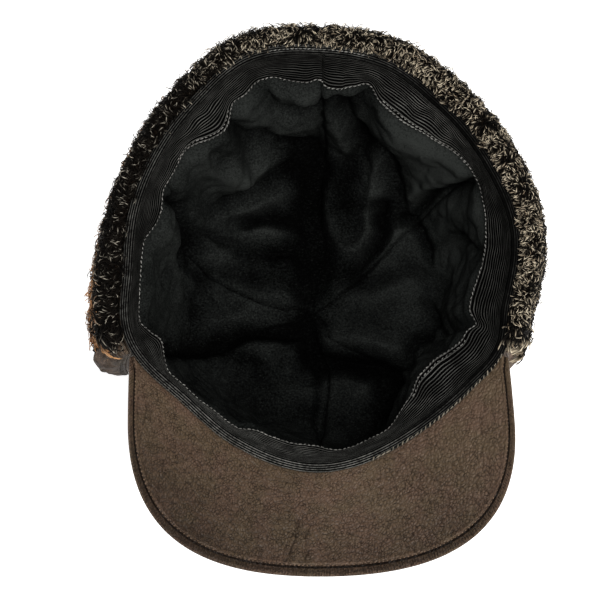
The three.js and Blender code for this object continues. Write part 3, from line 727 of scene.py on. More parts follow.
def along_rows(sections, shares):
    """Each section run through again on a smooth curve, at shares of its mean length, and that length."""
    steps = np.linalg.norm(np.diff(sections, axis=1), axis=-1).mean(0)
    at = np.concatenate([[0], np.cumsum(steps)])
    want = shares * at[-1]
    k = np.clip(np.searchsorted(at, want, side="right") - 1, 0, len(at) - 2)
    t = ((want - at[k]) / (at[k + 1] - at[k]))[None, :, None]
    last = sections.shape[1] - 1
    a, b, c, d = (sections[:, np.clip(k + step, 0, last)] for step in (-1, 0, 1, 2))
    return b + 0.5 * t * (c - a + t * (2 * a - 5 * b + 4 * c - d + t * (3 * (b - c) + d - a))), at[-1]


def outward(points, loop=False):
    """Unit vectors square to a face laid out as columns by rows."""
    if loop:
        around = np.roll(points, -1, axis=0) - np.roll(points, 1, axis=0)
    else:
        around = np.gradient(points, axis=0)
    normal = np.cross(around, np.gradient(points, axis=1))
    return normal / np.maximum(np.linalg.norm(normal, axis=-1, keepdims=True), 1e-9)


face_sections = band_sections(band_bearings, BAND_WALL, False)
_, tape_width = along_rows(face_sections, np.linspace(0, 1, 50))
wall_ribs = round((tape_width - LIP_WIDTH) / RIB_PITCH)
rib_count = LIP_RIBS + wall_ribs
band_rows = rib_count * ROWS_PER_RIB + 1
lip_share = LIP_WIDTH / tape_width
rib_edges = np.append(np.linspace(0, lip_share, LIP_RIBS, endpoint=False), np.linspace(lip_share, 1, wall_ribs + 1))
rib_at = np.arange(band_rows) / ROWS_PER_RIB
row_shares = np.interp(rib_at, np.arange(rib_count + 1), rib_edges)
band_front, _ = along_rows(face_sections, row_shares)
band_back, _ = along_rows(band_sections(band_bearings, 0.25, True), row_shares)
band_normal = outward(band_front, loop=True)
if (band_normal[:, band_rows // 2, :2] * band_front[:, band_rows // 2, :2]).sum() > 0:
    band_normal = -band_normal
tape_share = row_shares[None, :]
ribs = np.abs(np.sin(np.pi * rib_at[None, :])) ** 1.3
ribs = ribs * (0.5 + 0.5 * smooth(rib_at[None, :], LIP_RIBS - 0.5, LIP_RIBS + 0.5))
join = np.exp(-((turn(0.6, band_bearings) / 0.45) ** 2))[:, None] * smooth(tape_share, 0.1, 0.2)
overlap = 0.55 * smooth(turn(0.6, band_bearings), 0, 0.8)[:, None] * (turn(0.6, band_bearings) < 7)[:, None]
puckered = sum(np.exp(-((turn(at, band_bearings) / wide) ** 2)) for at, wide in ((38, 20), (112, 8), (314, 22)))
ripple = lumps(band_front, 11, 4) * 0.6 + lumps(band_front, 9, 44) * puckered[:, None]
ripple = ripple * smooth(tape_share, 0.2, 0.5) * (1 - 0.4 * smooth(tape_share, 0.85, 1)) + lumps(band_front, 3.2, 5) * 0.12
ripple = np.maximum(ripple, -1.2)
band_back = band_back + band_normal * (ripple - 0.2)[..., None]
lift = ribs * RIB_DEPTH - join * 0.9 + overlap * smooth(tape_share, 0.1, 0.25) + ripple
band_face = band_front + band_normal * lift[..., None]
rim_length = 2 * math.pi * RIM_REACH
# The UV map of the tape counts its ribs across and has millimetres along
# How strong the painted highlight on the tape's rib crests is, by bearing
RIB_HIGHLIGHT = ((0, 0.16), (40, 0.46), (75, 0.22), (100, 0.22), (135, 0.36), (180, 0.56), (215, 0.7), (245, 0.2), (275, 0.12), (315, 0.32), (345, 0.18))
rib_highlight_by_bearing = np.interp(band_bearings, *np.transpose(RIB_HIGHLIGHT), period=360)[:, None] * np.ones_like(tape_share)
sweatband = closed_sheet(
    "sweatband_tape",
    band_face,
    band_back,
    loop=True,
    size=(rim_length, rib_count),
    plain_back=4,
    marks={"rubbed": rib_highlight_by_bearing},
)

tape = Finish("black_ribbed_tape", {"Specular IOR Level": 0.03})
tape_uv = tape.node("ShaderNodeUVMap", {"uv_map": "cloth"})
tape_across = tape.node("ShaderNodeSeparateXYZ", {}, [tape_uv])
rib_crest = (tape_across["Y"] * math.pi).math("SINE").math("ABSOLUTE")
cross_yarn = (tape_across["X"] * (math.pi / 0.55)).math("SINE").math("ABSOLUTE")
rubbed = tape.between(tape.mottle(7, 3), 0.35, 0.7)
sides = tape.node("ShaderNodeSeparateXYZ", {}, [tape.place])
on_left = 1 - tape.between(sides["X"], 0.015, 0.05)
on_lip = 1 - tape.between(tape_across["Y"], LIP_RIBS - 0.6, LIP_RIBS + 0.2)
pale = tape.node("ShaderNodeAttribute", {"attribute_name": "rubbed"})["Fac"]
# Painted highlights on the rib crests of a near black tape, leaving the troughs dark as painted shade; their strength
# comes from the mark by bearing and a mottle.
rib_light = tape.between(rib_crest, 0.86, 1.0) * (0.45 + 0.55 * rubbed) * pale
dash = tape.between(tape.mottle(1.6, 3, 0.7), 0.35, 0.6)
in_front = 1 - tape.between(sides["Y"], -0.08, -0.04)
# The lip's rib crests get a painted highlight as well, stronger on the left and in front.
lip_gain = 0.04 + 0.16 * on_left + in_front * (0.1 + 0.1 * on_left)
lip_light = tape.between(rib_crest, 0.7, 1.0) * lip_gain * (0.25 + 0.75 * dash) * (0.5 + 0.5 * rubbed)
tone = tape.node("ShaderNodeMix", {}, [on_lip, rib_light, lip_light]) * (0.55 + 0.45 * cross_yarn)
tape_colour = tape.blend(tone, (0.0004, 0.0004, 0.0004), (0.55, 0.552, 0.52))
tape_height = cross_yarn * 0.5 + tape.mottle(0.5, 2) * 0.5
tape_rough = 0.62 + cross_yarn * 0.2
tape_finish = tape.feed(
    Base_Color=tape_colour, Roughness=tape_rough, Normal=tape.relief(tape_height, 0.15)
)
dress(sweatband, tape_finish, "sweatband_tape", "sweatband")

grey_thread = spun_thread("grey_thread", (0.045, 0.045, 0.042), (0.36, 0.355, 0.335))


def on_tape(share, lift_off, start=0.0, end=360.0):
    """A line round the band's face at a share of the tape's width from its lip."""
    row = int(np.argmin(np.abs(row_shares - share)))
    line = band_face[:, row] + band_normal[:, row] * lift_off
    keep = (band_bearings >= start) & (band_bearings <= end)
    line = line[keep]
    return np.concatenate([line, line[:1]]) if end - start >= 360 else line


edge_lines = [
    on_tape(0.975, 0.12),
    on_tape(0.93, 0.12, 22, 58),
    on_tape(0.935, 0.12, 120, 146),
    on_tape(0.93, 0.12, 304, 328),
]
edge_twist = [on_tape(0.025, 0.12, 118, 165)]
dim_twist = [on_tape(0.02, 0.1, 196, 242)]
lip_lines = [on_tape(0.028, 0.08, 340, 360), on_tape(0.082, 0.08, 346, 360), on_tape(0.028, 0.08, 0, 20), on_tape(0.082, 0.08, 0, 12)]
band_stitches = sewn("sweatband_stitches", edge_lines, grey_thread, 2.1, 1.8, 0.46, 0.16, 3)
lip_stitches = sewn("sweatband_lip_stitches", lip_lines, grey_thread, 1.9, 1.5, 0.42, 0.1, 4)
dress(lip_stitches, None, "sweatband_tape")
tan_thread = spun_thread("tan_thread", (0.05, 0.045, 0.035), (0.3, 0.26, 0.2))
twist = sewn("sweatband_edge_twist", edge_twist, tan_thread, 2.5, 2.6, 0.62, 0.5, 7)
dress(twist, None, "sweatband_tape")
dim_thread = spun_thread("dim_thread", (0.02, 0.018, 0.014), (0.1, 0.09, 0.075))
twist = sewn("sweatband_edge_twist_left", dim_twist, dim_thread, 1.9, 2.0, 0.5, 0.5, 8)
dress(twist, None, "sweatband_tape")
dress(band_stitches, None, "sweatband_tape")

# Lining
# Six panels of black brushed flannel over thin wadding, seamed together, hang loose in the crown from
# the sweatband. Upside down, the cloth sinks into soft folds between its seams.
LINING_WALL = 2.6
LINING_EASE = 1.6
PANEL_PUFF = 5
BAND_COVER = 0.3
lining_top = CROWN_DEPTH - BAND_HEIGHT * (1 - BAND_COVER)
lining_sweep = math.acos((1 - lining_top / CROWN_DEPTH) ** (DOME_POWER / 2)) * 2 / math.pi
LINING_COLUMNS = 96
LINING_ROWS = 150
SEAM_CROSSING = (-3.5, -7.0)
LINING_SLACK = 6.5
HANG_SLOPE = 0.22
HANG_BEND = 7
# How far each seam sways round from its place, in degrees, at shares of the way from the middle to the
# band. A row for each seam, from the back round by the wearer's right.
SEAM_PLACES = (0, 0.1, 0.2, 0.35, 0.6, 0.8, 1)
SEAM_SWAY = (
    (0, 0, 0, 0, 2, 1, 0),
    (0, -2, -4, -7, -8, -6, 0),
    (0, 35, 22, 13, 8, 4, 0),
    (0, -4, -8, -3, 0, 0, 0),
    (0, 5, 5, 4, 7, 10, 8),
    (0, -30, -30, -22, -14, -5, 0),
)
# Folds as they show in view. Each is a run of places, its height in millimetres, below 0 for a crease,
# and how far in pixels it reaches on the left of its run and on the right of it.
FOLDS = (
    (((319, 98), (322, 118), (319, 145), (318, 175)), -2.5, 3, 3),
    (((318, 150), (314, 185), (314, 215), (318, 250), (318, 276)), -12, 15, 18),
    (((338, 98), (346, 113), (357, 129), (368, 142), (388, 156), (394, 178), (404, 212)), -8, 7, 8),
    (((364, 144), (352, 162), (345, 182), (348, 202), (356, 222)), -5, 9, 8),
    (((366, 205), (384, 206), (383, 228), (376, 246), (358, 262)), -8, 7, 8),
    (((404, 218), (414, 219), (424, 203), (437, 194), (452, 188), (472, 184)), -7, 4, 5),
    (((408, 224), (419, 232), (426, 246), (432, 262)), -6, 5, 4),
    (((438, 242), (450, 236), (462, 234), (474, 242), (486, 251)), -4, 3, 5),
    (((266, 80), (269, 93), (277, 103), (292, 107), (330, 103), (360, 98), (371, 84)), -6, 4, 6),
    (((229, 116), (236, 130), (250, 134), (262, 132)), -4, 5, 7),
    (((262, 133), (280, 137), (297, 141), (310, 147), (318, 156)), -8, 4, 11),
    (((206, 154), (222, 158), (238, 157)), -3, 6, 6),
    (((210, 207), (240, 194), (262, 184), (286, 170)), -5, 8, 6),
    (((164, 196), (176, 210), (181, 228), (181, 262)), -8, 8, 3),
    (((190, 226), (196, 250), (196, 272)), -4, 8, 8),
    (((202, 230), (214, 238), (234, 244)), -4, 4, 5),
    (((230, 223), (262, 219), (302, 216)), -5, 6, 6),
    (((240, 253), (275, 250), (310, 250)), -5, 5, 7),
    (((150, 337), (164, 348), (184, 354), (208, 350), (244, 338), (292, 327), (312, 320)), -8, 7, 5),
    (((195, 298), (194, 320), (188, 342)), -4, 6, 5),
    (((316, 314), (314, 345), (319, 370)), -8, 7, 9),
    (((320, 368), (319, 395), (316, 415), (317, 442)), -2.5, 3, 3),
    (((320, 346), (338, 356), (374, 364), (396, 371), (400, 384), (392, 397), (384, 410)), -9, 5, 12),
    (((386, 412), (376, 428), (360, 440), (344, 446)), -5, 9, 9),
    (((428, 302), (437, 322), (430, 334), (416, 340), (409, 352), (410, 368)), -6, 5, 5),
    (((230, 352), (250, 358), (266, 364)), -3, 3, 5),
    (((276, 93), (320, 94), (362, 91)), 3, 6, 6),
    (((236, 106), (262, 115), (290, 121), (313, 124)), 4, 12, 10),
    (((328, 110), (340, 130), (350, 152)), 4, 8, 8),
    (((384, 112), (404, 136), (436, 150), (462, 160)), 4, 12, 10),
    (((192, 148), (204, 166), (222, 175), (244, 172), (259, 160), (267, 142)), 5.5, 9, 11),
    (((222, 216), (250, 206), (276, 198), (302, 188)), 5, 7, 8),
    (((376, 156), (377, 180), (370, 198), (365, 216), (369, 232), (362, 246)), 5, 6, 7),
    (((362, 246), (346, 248), (333, 236), (327, 212), (326, 188)), 5, 6, 7),
    (((408, 196), (436, 178), (468, 172)), 3.5, 8, 7),
    (((384, 252), (394, 233), (408, 229), (420, 242)), 5, 5, 13),
    (((438, 208), (456, 214), (472, 214)), 2.5, 12, 14),
    (((150, 215), (162, 235), (164, 262)), 3, 10, 10),
    (((236, 233), (265, 233), (298, 231)), 4, 6, 7),
    (((204, 258), (214, 247), (232, 258)), 3.5, 6, 8),
    (((330, 332), (350, 334), (376, 344), (398, 351)), 5, 10, 7),
    (((328, 384), (346, 380), (364, 388), (372, 404)), 5, 6, 14),
    (((196, 326), (216, 326), (242, 318)), 3, 8, 8),
    (((238, 346), (268, 344), (302, 342)), 3, 7, 7),
    (((276, 394), (298, 386), (312, 398)), 2.5, 12, 12),
    (((225, 285), (262, 292), (300, 286)), 3, 10, 12),
    (((350, 282), (384, 292), (416, 284)), 4, 10, 12),
    (((336, 270), (372, 276), (408, 268), (440, 278)), -4, 6, 8),
    (((196, 278), (226, 272), (262, 277), (290, 270)), -4, 6, 8),
)


def near_run(u, v, run):
    """Distance from a run of places in view, with its side, 1 on the right, and the share along it."""
    stops = np.array(run, float)
    steps = np.linalg.norm(np.diff(stops, axis=0), axis=1)
    starts = np.concatenate([[0], np.cumsum(steps)])
    near, side, share = np.full_like(u, 1e9), np.zeros_like(u), np.zeros_like(u)
    for k, (start, end) in enumerate(zip(stops, stops[1:])):
        dx, dy = end - start
        t = np.clip(((u - start[0]) * dx + (v - start[1]) * dy) / (dx * dx + dy * dy), 0, 1)
        distance = np.hypot(u - start[0] - t * dx, v - start[1] - t * dy)
        closer = distance < near
        near = np.where(closer, distance, near)
        side = np.where(closer, np.sign(dx * (v - start[1]) - dy * (u - start[0])), side)
        share = np.where(closer, (starts[k] + t * steps[k]) / starts[-1], share)
    return near, side, share


def fold_height(points, widen=1.0):
    """Height of the folds at points of the lining, each as many times as wide as widen says."""
    u, v = seen_at(points)
    u = u + 2.5 * lumps(points, 13, 51)
    v = v + 2.5 * lumps(points, 13, 52)
    total = np.zeros_like(u)
    for run, height, left, right in FOLDS:
        near, side, share = near_run(u, v, run)
        reach = np.where(side > 0, right, left)
        ends = 0.4 + 0.6 * np.sin(np.pi * np.clip(share, 0.02, 0.98)) ** 0.5
        power = 2 if height > 0 else 1.5
        total = total + height * ends * np.exp(-((near / (reach * widen)) ** power))
    return total


wall_rows = np.arange(band_rows // 4, band_rows, ROWS_PER_RIB)
wall_rows[-1] = band_rows - 1
wall_face = (band_front + band_normal * ripple[..., None])[:, wall_rows]
wall_drop = (rim_height(band_bearings)[:, None] - wall_face[..., 2]).mean(0)
BEHIND_TAPE = 1.4


def round_axis(points):
    """Bearing and distance of points from the crown's leaning axis."""
    slump = 1 - np.clip(points[..., 2] / CROWN_DEPTH, 0, 1)
    x, y = points[..., 0] - SLUMP_RIGHT * slump, points[..., 1] + SLUMP_FORWARD * slump
    return np.mod(np.degrees(np.arctan2(x, y)), 360), np.hypot(x, y)


wall_bearings, wall_reaches = round_axis(wall_face)


def behind_band(bearing, height):
    """Distance from the leaning axis to just behind the band's wall, or to behind its edge below it."""
    drop = np.clip(rim_height(bearing) - height, wall_drop[0], wall_drop[-1])
    levels = range(len(wall_drop))
    at_levels = [np.interp(bearing, wall_bearings[:, k], wall_reaches[:, k], period=360) for k in levels]
    k = np.clip(np.searchsorted(wall_drop, drop, side="right") - 1, 0, len(wall_drop) - 2)
    above, below = (np.take_along_axis(np.stack(at_levels), (k + step)[None], 0)[0] for step in (0, 1))
    share = (drop - wall_drop[k]) / (wall_drop[k + 1] - wall_drop[k])
    return above + (below - above) * share + BEHIND_TAPE


def hung_reach(bearing, reach, height):
    """The reach of cloth that hangs from behind the band and slopes in below it, and so shows from above."""
    below = np.maximum(0, rim_height(bearing) - BAND_HEIGHT - height)
    limit = behind_band(bearing, height) - HANG_SLOPE * below
    share = np.clip(0.5 + 0.5 * (limit - reach) / HANG_BEND, 0, 1)
    bent = limit + (reach - limit) * share - HANG_BEND * share * (1 - share)
    return limit + (bent - limit) * smooth(below, 0, 9)


def lining_panel(number):
    width = 360 / len(PANELS)
    across = np.linspace(0, 1, LINING_COLUMNS)[:, None]
    along = np.linspace(0, 1, LINING_ROWS)[None, :] * np.ones_like(across)
    sway = [np.interp(along, SEAM_PLACES, SEAM_SWAY[(number + k) % len(PANELS)]) for k in (0, 1)]
    bearing = (number + across) * width + sway[0] + (sway[1] - sway[0]) * across
    base = CROWN_LEATHER + GAP + LINING_WALL + LINING_SLACK
    reach, height = wall(bearing, along, lining_sweep, base)
    top = rim_height(bearing[:, -1:]) - (CROWN_DEPTH - lining_top)
    height = np.where(along > 0.9, height + (top - height[:, -1:]) * (along - 0.9) / 0.1, height)
    reach = hung_reach(bearing, reach, height)
    run, rise = np.gradient(reach, axis=1), np.gradient(height, axis=1)
    length = np.maximum(np.hypot(run, rise), 1e-6)
    middle = place(bearing, np.maximum(reach, 0), height)
    from_seam = np.maximum(reach, 0) * np.radians(np.minimum(across, 1 - across) * width)
    puff = PANEL_PUFF * 0.4 * (1 - np.exp(-from_seam / 5)) * smooth(reach, 6, 40)
    pinch = 1.3 * np.exp(-((from_seam / 1.0) ** 2)) * smooth(reach, 4, 16)
    crumple = lumps(middle, 20, 6) * 1.2 + lumps(middle, 8, 7) * 0.8 + (creases(middle, 11, 8) - 0.5) * 1.4
    band_edge = rim_height(bearing) - BAND_HEIGHT
    calm = 1 - smooth(height, band_edge - 9, band_edge - 1)
    folds = fold_height(middle)
    shading_folds = fold_height(middle, 1.5)
    slack = (puff + folds + crumple - pinch) * calm
    lowest = -LINING_SLACK - 1.5
    slack = np.where(slack < lowest + 2, lowest + 2 * np.exp(np.minimum(slack - lowest, 2) / 2 - 1), slack)
    reach, height = reach - rise / length * slack, height + run / length * slack
    points = place(bearing, np.maximum(reach, 0), height)
    drift = (1 - smooth(reach, 0, 46))[..., None] * np.array((*SEAM_CROSSING, 0))
    behind_reach, behind_height = wall(bearing, along, lining_sweep, CROWN_LEATHER + 0.4)
    behind = place(bearing, np.maximum(behind_reach, 0), behind_height)
    # Painted light and shade of the cloth: lighter on the fold crests, to the back and to the right, darker in the fold
    # valleys, towards the front, along the seams and low down near the flat top.
    crest = 0.56 + 0.09 * smooth(points[..., 1], -45, 60) - 0.06 * smooth(-points[..., 1], 0, 60) + (shading_folds + 0.8 * crumple) / 16 * calm - 0.18 * np.exp(-((from_seam / 0.9) ** 2))
    crest = crest - 0.2 * (1 - smooth(height, 6, 34)) + 0.2 * smooth(points[..., 0], 20, 60)
    return points + drift, behind, np.clip(crest, 0, 1)


flannel = Finish("black_flannel", {"Specular IOR Level": 0.025, "Roughness": 0.95})
nap = flannel.mottle(0.9, 4, 0.75)
brushed = flannel.mottle(16, 3, 0.55)
streaks = flannel.node("ShaderNodeVectorMath", {"operation": "MULTIPLY"}, [flannel.place, (1, 2.2, 1)])
lint = flannel.between(flannel.mottle(1.3, 3, 0.7, streaks), 0.58, 0.74)
pills = flannel.between(flannel.mottle(2.6, 3, 0.6), 0.6, 0.75)
crest = flannel.node("ShaderNodeAttribute", {"attribute_name": "crest"})["Fac"]
# The painted fold light, mottled by nap, brushing and pills, runs through the ramp from black cloth to lighter; lint
# shows more where the painted light is high.
lie = crest + (brushed - 0.5) * 0.45 + (nap - 0.5) * 2.0 + pills * 0.08
flannel_colour = flannel.node(
    "ShaderNodeValToRGB",
    {
        "stops": (
            (0.05, (0.0003, 0.0003, 0.0003)),
            (0.35, (0.0042, 0.0048, 0.0047)),
            (0.6, (0.0105, 0.0118, 0.0112)),
            (1.0, (0.027, 0.03, 0.0285)),
        )
    },
    [lie],
)
flannel_colour = flannel.blend(lint * (0.2 + crest * 0.6), flannel_colour, (0.06, 0.064, 0.061))
flannel_finish = flannel.feed(
    Base_Color=flannel_colour, Normal=flannel.relief(nap * 0.7 + lint * 0.3 + pills * 0.4, 0.6)
)
for number, name in enumerate(PANELS):
    face, behind, painted_fold_light_at = lining_panel(number)
    panel = closed_sheet(f"lining_cloth_{name}", face, behind, marks={"crest": painted_fold_light_at})
    dress(panel, flannel_finish, "lining_cloth", f"lining_{name}")

# Peak
# A board between an upper leather, rolled up round its edge, and an underside leather, which meet in a
# stitched groove. It is sewn to the crown just under the rim and bent across the forehead.
PEAK_DEPTH = 48.8
PEAK_FLARE = 0.6
PEAK_WIDEST = 29
PEAK_FULLNESS = 0.68
PEAK_SLOPE = 25
PEAK_SAG = 34
PEAK_TOP_WALL = 2.8
PEAK_UNDER_WALL = 1.2
PEAK_ROLL = 4.2
PEAK_END_WIDTH = 2.6
PEAK_SEAT = 1.6
ROLL_LIMIT = 0.4
PEAK_COLUMNS = 260

peak_end = place(PEAK_END, rim_reach(PEAK_END) + flap_face + PEAK_END_WIDTH, CROWN_DEPTH)[:2]
peak_half = peak_end[0] + PEAK_FLARE
peak_front = -float(rim_reach(180)) - PEAK_DEPTH


def peak_edge(across):
    """Plan of the peak's outer edge at a share of its length from the right end to the left."""
    widest = peak_end[1] - PEAK_WIDEST
    bend = (peak_end[1] + widest) / 2
    corner_y = widest + (peak_front - widest) * PEAK_FULLNESS
    corner_x = peak_half * PEAK_FULLNESS
    t = np.linspace(0, 1, 200)[:, None]
    start, side, out = (np.array(p) for p in ((peak_end[0], peak_end[1]), (peak_half, bend), (peak_half, widest)))
    low, tip, front = (np.array(p) for p in ((peak_half, corner_y), (corner_x, peak_front), (0, peak_front)))
    first = (1 - t) ** 2 * start + 2 * t * (1 - t) * side + t**2 * out
    second = (1 - t) ** 3 * out + 3 * t * (1 - t) ** 2 * low + 3 * t**2 * (1 - t) * tip + t**3 * front
    half = np.concatenate([first, second[1:]])
    whole = np.concatenate([half, (half * (-1, 1))[::-1][1:]])
    run = np.concatenate([[0], np.cumsum(np.linalg.norm(np.diff(whole, axis=0), axis=1))])
    return np.stack([np.interp(across * run[-1], run, whole[:, k]) for k in (0, 1)], axis=-1)


def peak_point(across, back, depth):
    """A point of the peak: share across from right to left, share of the way back from its outer edge to
    the rim, and depth below the underside's face."""
    bearing = PEAK_END + (360 - 2 * PEAK_END) * across
    edge = peak_edge(across)
    root_height = rim_height(bearing) - PEAK_SEAT
    root_depth = PEAK_SEAT + depth
    level = rim_height(bearing) - root_depth
    root = place(bearing, crown_reach(bearing, level) + GAP, level)
    ahead = -edge[..., 1] - float(rim_reach(180))
    slope = rim_height(180) - PEAK_SEAT + math.tan(math.radians(PEAK_SLOPE)) * ahead
    edge_height = np.maximum(root_height, slope + PEAK_SAG * (edge[..., 0] / peak_half) ** 2)
    plan = edge + (root[..., :2] - edge) * back[..., None]
    height = edge_height + (root_height - edge_height) * back - depth
    return np.concatenate([plan, height[..., None]], axis=-1)


def edge_share(across, width):
    """Share of the way back to the rim that a width in from the outer edge takes up."""
    zero = np.zeros_like(across)
    span = np.linalg.norm(peak_point(across, zero, zero) - peak_point(across, zero + 1, zero), axis=-1)
    return np.minimum(width / span, width / PEAK_ROLL * ROLL_LIMIT)


# Painted light slope of the peak: lighter to the right and to the back, darker away from the middle.
PEAK_PAINTED_LIGHT_SLOPE = (2.4, 11, -3.6, 1.40)
peak_hide = soft_leather("peak_leather", (0.026, 0.0166, 0.0102), (0.112, 0.0745, 0.0488), 0.9, 0.5, PEAK_PAINTED_LIGHT_SLOPE)
UNDER_ROWS = 72
across = np.linspace(0, 1, PEAK_COLUMNS)[:, None] * np.ones((1, UNDER_ROWS))
along = np.linspace(0, 1, UNDER_ROWS)[None, :] * np.ones((PEAK_COLUMNS, 1))
inner_edge = edge_share(across, PEAK_ROLL + GAP * 1.3)
back_share = inner_edge + (1 - inner_edge) * along
under_face = peak_point(across, back_share, np.zeros_like(across))
u, v = seen_at(under_face)
wrinkle = np.zeros_like(u)
# Wrinkles of the underside in view: place across, lean, top, foot, depth in millimetres and half width
for at, lean, top, foot, deep, half in (
    (303, -0.38, 510, 570, 1.7, 1.9),
    (294, -0.34, 526, 574, 1.3, 1.6),
    (314, -0.3, 516, 558, 1.0, 1.7),
    (308, -0.05, 541, 574, 1.1, 1.6),
    (325, 0.1, 536, 573, 0.9, 1.8),
    (340, 0.15, 505, 560, 0.35, 2.6),
    (262, -0.1, 500, 545, 0.3, 2.6),
    (484, 0.05, 388, 500, 0.4, 2.2),
    (476, 0.1, 396, 520, 0.35, 2.2),
    (492, 0.0, 380, 450, 0.35, 2.0),
    (468, 0.14, 420, 520, 0.25, 2.2),
    (146, 0.03, 392, 455, 0.4, 2.0),
    (137, 0.02, 380, 470, 0.4, 2.4),
):
    sway = 2.4 * lumps(under_face, 9, 18) + 1.6 * lumps(under_face, 3.5, 19)
    line = np.exp(-(((u - at - (v - top) * lean + sway) / half) ** 2))
    wrinkle = wrinkle - deep * line * smooth(v, top, top + 18) * (1 - smooth(v, foot - 18, foot))
to_edge = np.linalg.norm(under_face - peak_point(across, inner_edge, np.zeros_like(across)), axis=-1)
dish = -0.9 * np.exp(-((to_edge / 0.6) ** 2)) + 0.5 * np.exp(-(((to_edge - 1.7) / 0.8) ** 2))
hide_waves = lumps(under_face, 22, 11) * 0.4 + lumps(under_face, 7, 12) * 0.16 - (1 - creases(under_face, 6, 13)) * 0.22
under_lift = (wrinkle + dish + hide_waves)[..., None] * (0, 0, 1)
under_back = peak_point(across, back_share, np.full_like(across, PEAK_UNDER_WALL))
# The underside's marks: painted shade in the stitched groove, a painted highlight on the ridge just inside it, and
# crinkles with painted shade in the wrinkles.
by_groove = np.exp(-((to_edge / 0.5) ** 2))
under_marks = {"worked": np.clip(-wrinkle / 1.5, 0, 1) ** 1.5, "seam": by_groove, "rub": np.exp(-(((to_edge - 1.5) / 0.6) ** 2))}
underside = closed_sheet("peak_underside_leather", under_face + under_lift, under_back, marks=under_marks)
dress(underside, peak_hide, "peak_leather", "peak_underside")

ROLL_SECTION = np.array(
    [(0, 0.42, 0.62), (0.12, 0.8, 0.77), (0.45, 1.08, 0.9), (0.85, 1.0, 0.98), (1, 0.8, 1), (1, 0, 1)]
)
ROLL_ROWS = 24
ROLL_RUN = 420
FLAT_ROWS = 22
roll_at = np.concatenate([np.linspace(0, 4, ROLL_ROWS - 2), [4.5, 5]])


def roll_column(column):
    k = np.clip(roll_at.astype(int), 0, 4)
    t = roll_at - k
    values = ROLL_SECTION[:, column]
    a, b, c, d = (values[np.clip(k + step, 0, 5)] for step in (-1, 0, 1, 2))
    eased = b + 0.5 * t * (c - a + t * (2 * a - 5 * b + 4 * c - d + t * (3 * (b - c) + d - a)))
    return np.where(k >= 4, b + (c - b) * t, eased)


def upper_face(lower):
    across = np.linspace(0, 1, PEAK_COLUMNS)[:, None]
    seat = PEAK_UNDER_WALL + GAP
    bottom = seat + PEAK_TOP_WALL
    inwards, lift, belly = (roll_column(k)[None, :] for k in range(3))
    wide = across * np.ones_like(inwards)
    depth = bottom * belly if lower else seat * (1 - lift)
    rolled = peak_point(wide, edge_share(wide, PEAK_ROLL * np.clip(inwards, 0, 1)), depth * np.ones_like(wide))
    back = np.linspace(0, 1, FLAT_ROWS + 1)[None, 1:]
    seat_share = edge_share(across * np.ones_like(back), PEAK_ROLL)
    flat = peak_point(across * np.ones_like(back), seat_share + (1 - seat_share) * back, np.full_like(seat_share, bottom if lower else seat))
    return np.concatenate([rolled, flat], axis=1)


upper_top, upper_low = upper_face(False), upper_face(True)
pleats = lumps(upper_top * (1, 1, 1), 5, 14) * 0.22 + lumps(upper_top, 2.2, 15) * 0.08
on_roll = (np.arange(upper_top.shape[1]) < ROLL_ROWS - 3)[None, :]
upper_top = upper_top + (pleats * on_roll)[..., None] * (0, 0, 1)
low_waves = lumps(upper_low, 20, 16) * 0.3 + (creases(upper_low, 9, 17) - 0.5) * 0.15
upper_low = upper_low + low_waves[..., None] * (0, 0, 0.6)
inward_share = np.broadcast_to(np.append(roll_column(0), np.full(FLAT_ROWS, 1.0)), upper_top.shape[:2])
in_groove = smooth(inward_share, 0.9, 1.0) * 0.97
# The roll's marks: painted shade in the stitched groove, gathers with painted light and shade, a painted highlight near
# the outer edge and a darker middle.
roll_marks = {
    "seam": in_groove,
    "gather": on_roll * np.ones(upper_top.shape[:2]) * (1 - in_groove),
    "run": across[:, :1] * np.ones(upper_top.shape[:2]) * ROLL_RUN,
    "rub": 1.1 * np.exp(-(((inward_share - 0.12) / 0.14) ** 2)) - 0.55 * np.exp(-(((inward_share - 0.6) / 0.25) ** 2)),
}
upper = closed_sheet("peak_upper_leather", upper_top, upper_low, plain_back=1, marks=roll_marks)
dress(upper, peak_hide, "peak_leather", "peak_upper")

line_across = np.linspace(0.012, 0.988, 700)
groove_share = edge_share(line_across, PEAK_ROLL + GAP + 0.75)
groove_line = peak_point(line_across, groove_share, np.zeros_like(line_across)) - (0, 0, 0.12)
rust_thread = spun_thread("rust_thread", (0.06, 0.035, 0.02), (0.24, 0.155, 0.1))
peak_stitches = sewn("peak_edge_stitches", [groove_line], rust_thread, 1.9, 0.85, 0.6, 0.0, 5)
dress(peak_stitches, None, "peak_leather")

# Ear and neck flap
# A band of the same leather, turned up so that it lies on the crown. Its front ends are turned out
# round the pile in gathered leather hems.
flap_hide = soft_leather("flap_leather", (0.042, 0.0285, 0.019), (0.142, 0.1, 0.069), 0.45, 0.6)


def outside_point(bearing, depth, out):
    height = rim_height(bearing) - depth
    return place(bearing, crown_reach(bearing, height) + out, height)


FLAP_COLUMNS = 200
FLAP_ROWS = 30
across = np.linspace(-flap_end, flap_end, FLAP_COLUMNS)[:, None]
down = np.linspace(0, 1, FLAP_ROWS)[None, :]
flap_depth = GAP + (flap_drop(across) - GAP) * down
flap_out = outside_point(across, flap_depth, GAP + FLAP_LEATHER)
flap_in = outside_point(across, flap_depth, np.full_like(flap_depth, GAP))
flap = closed_sheet("flap_turned_leather", flap_out, flap_in)
dress(flap, flap_hide, "flap_leather", "flap_leather")

PILE_DEPTH = 9
HEM_TOP = 3
HEM_SHARE = {1: 0.5, -1: 1.08}
HEM_ROLL = 0.97
HEM_PLEAT = 1.5
HEM_ROWS = 300


def pile_depth(bearing):
    return PILE_DEPTH * round_table(3, bearing)


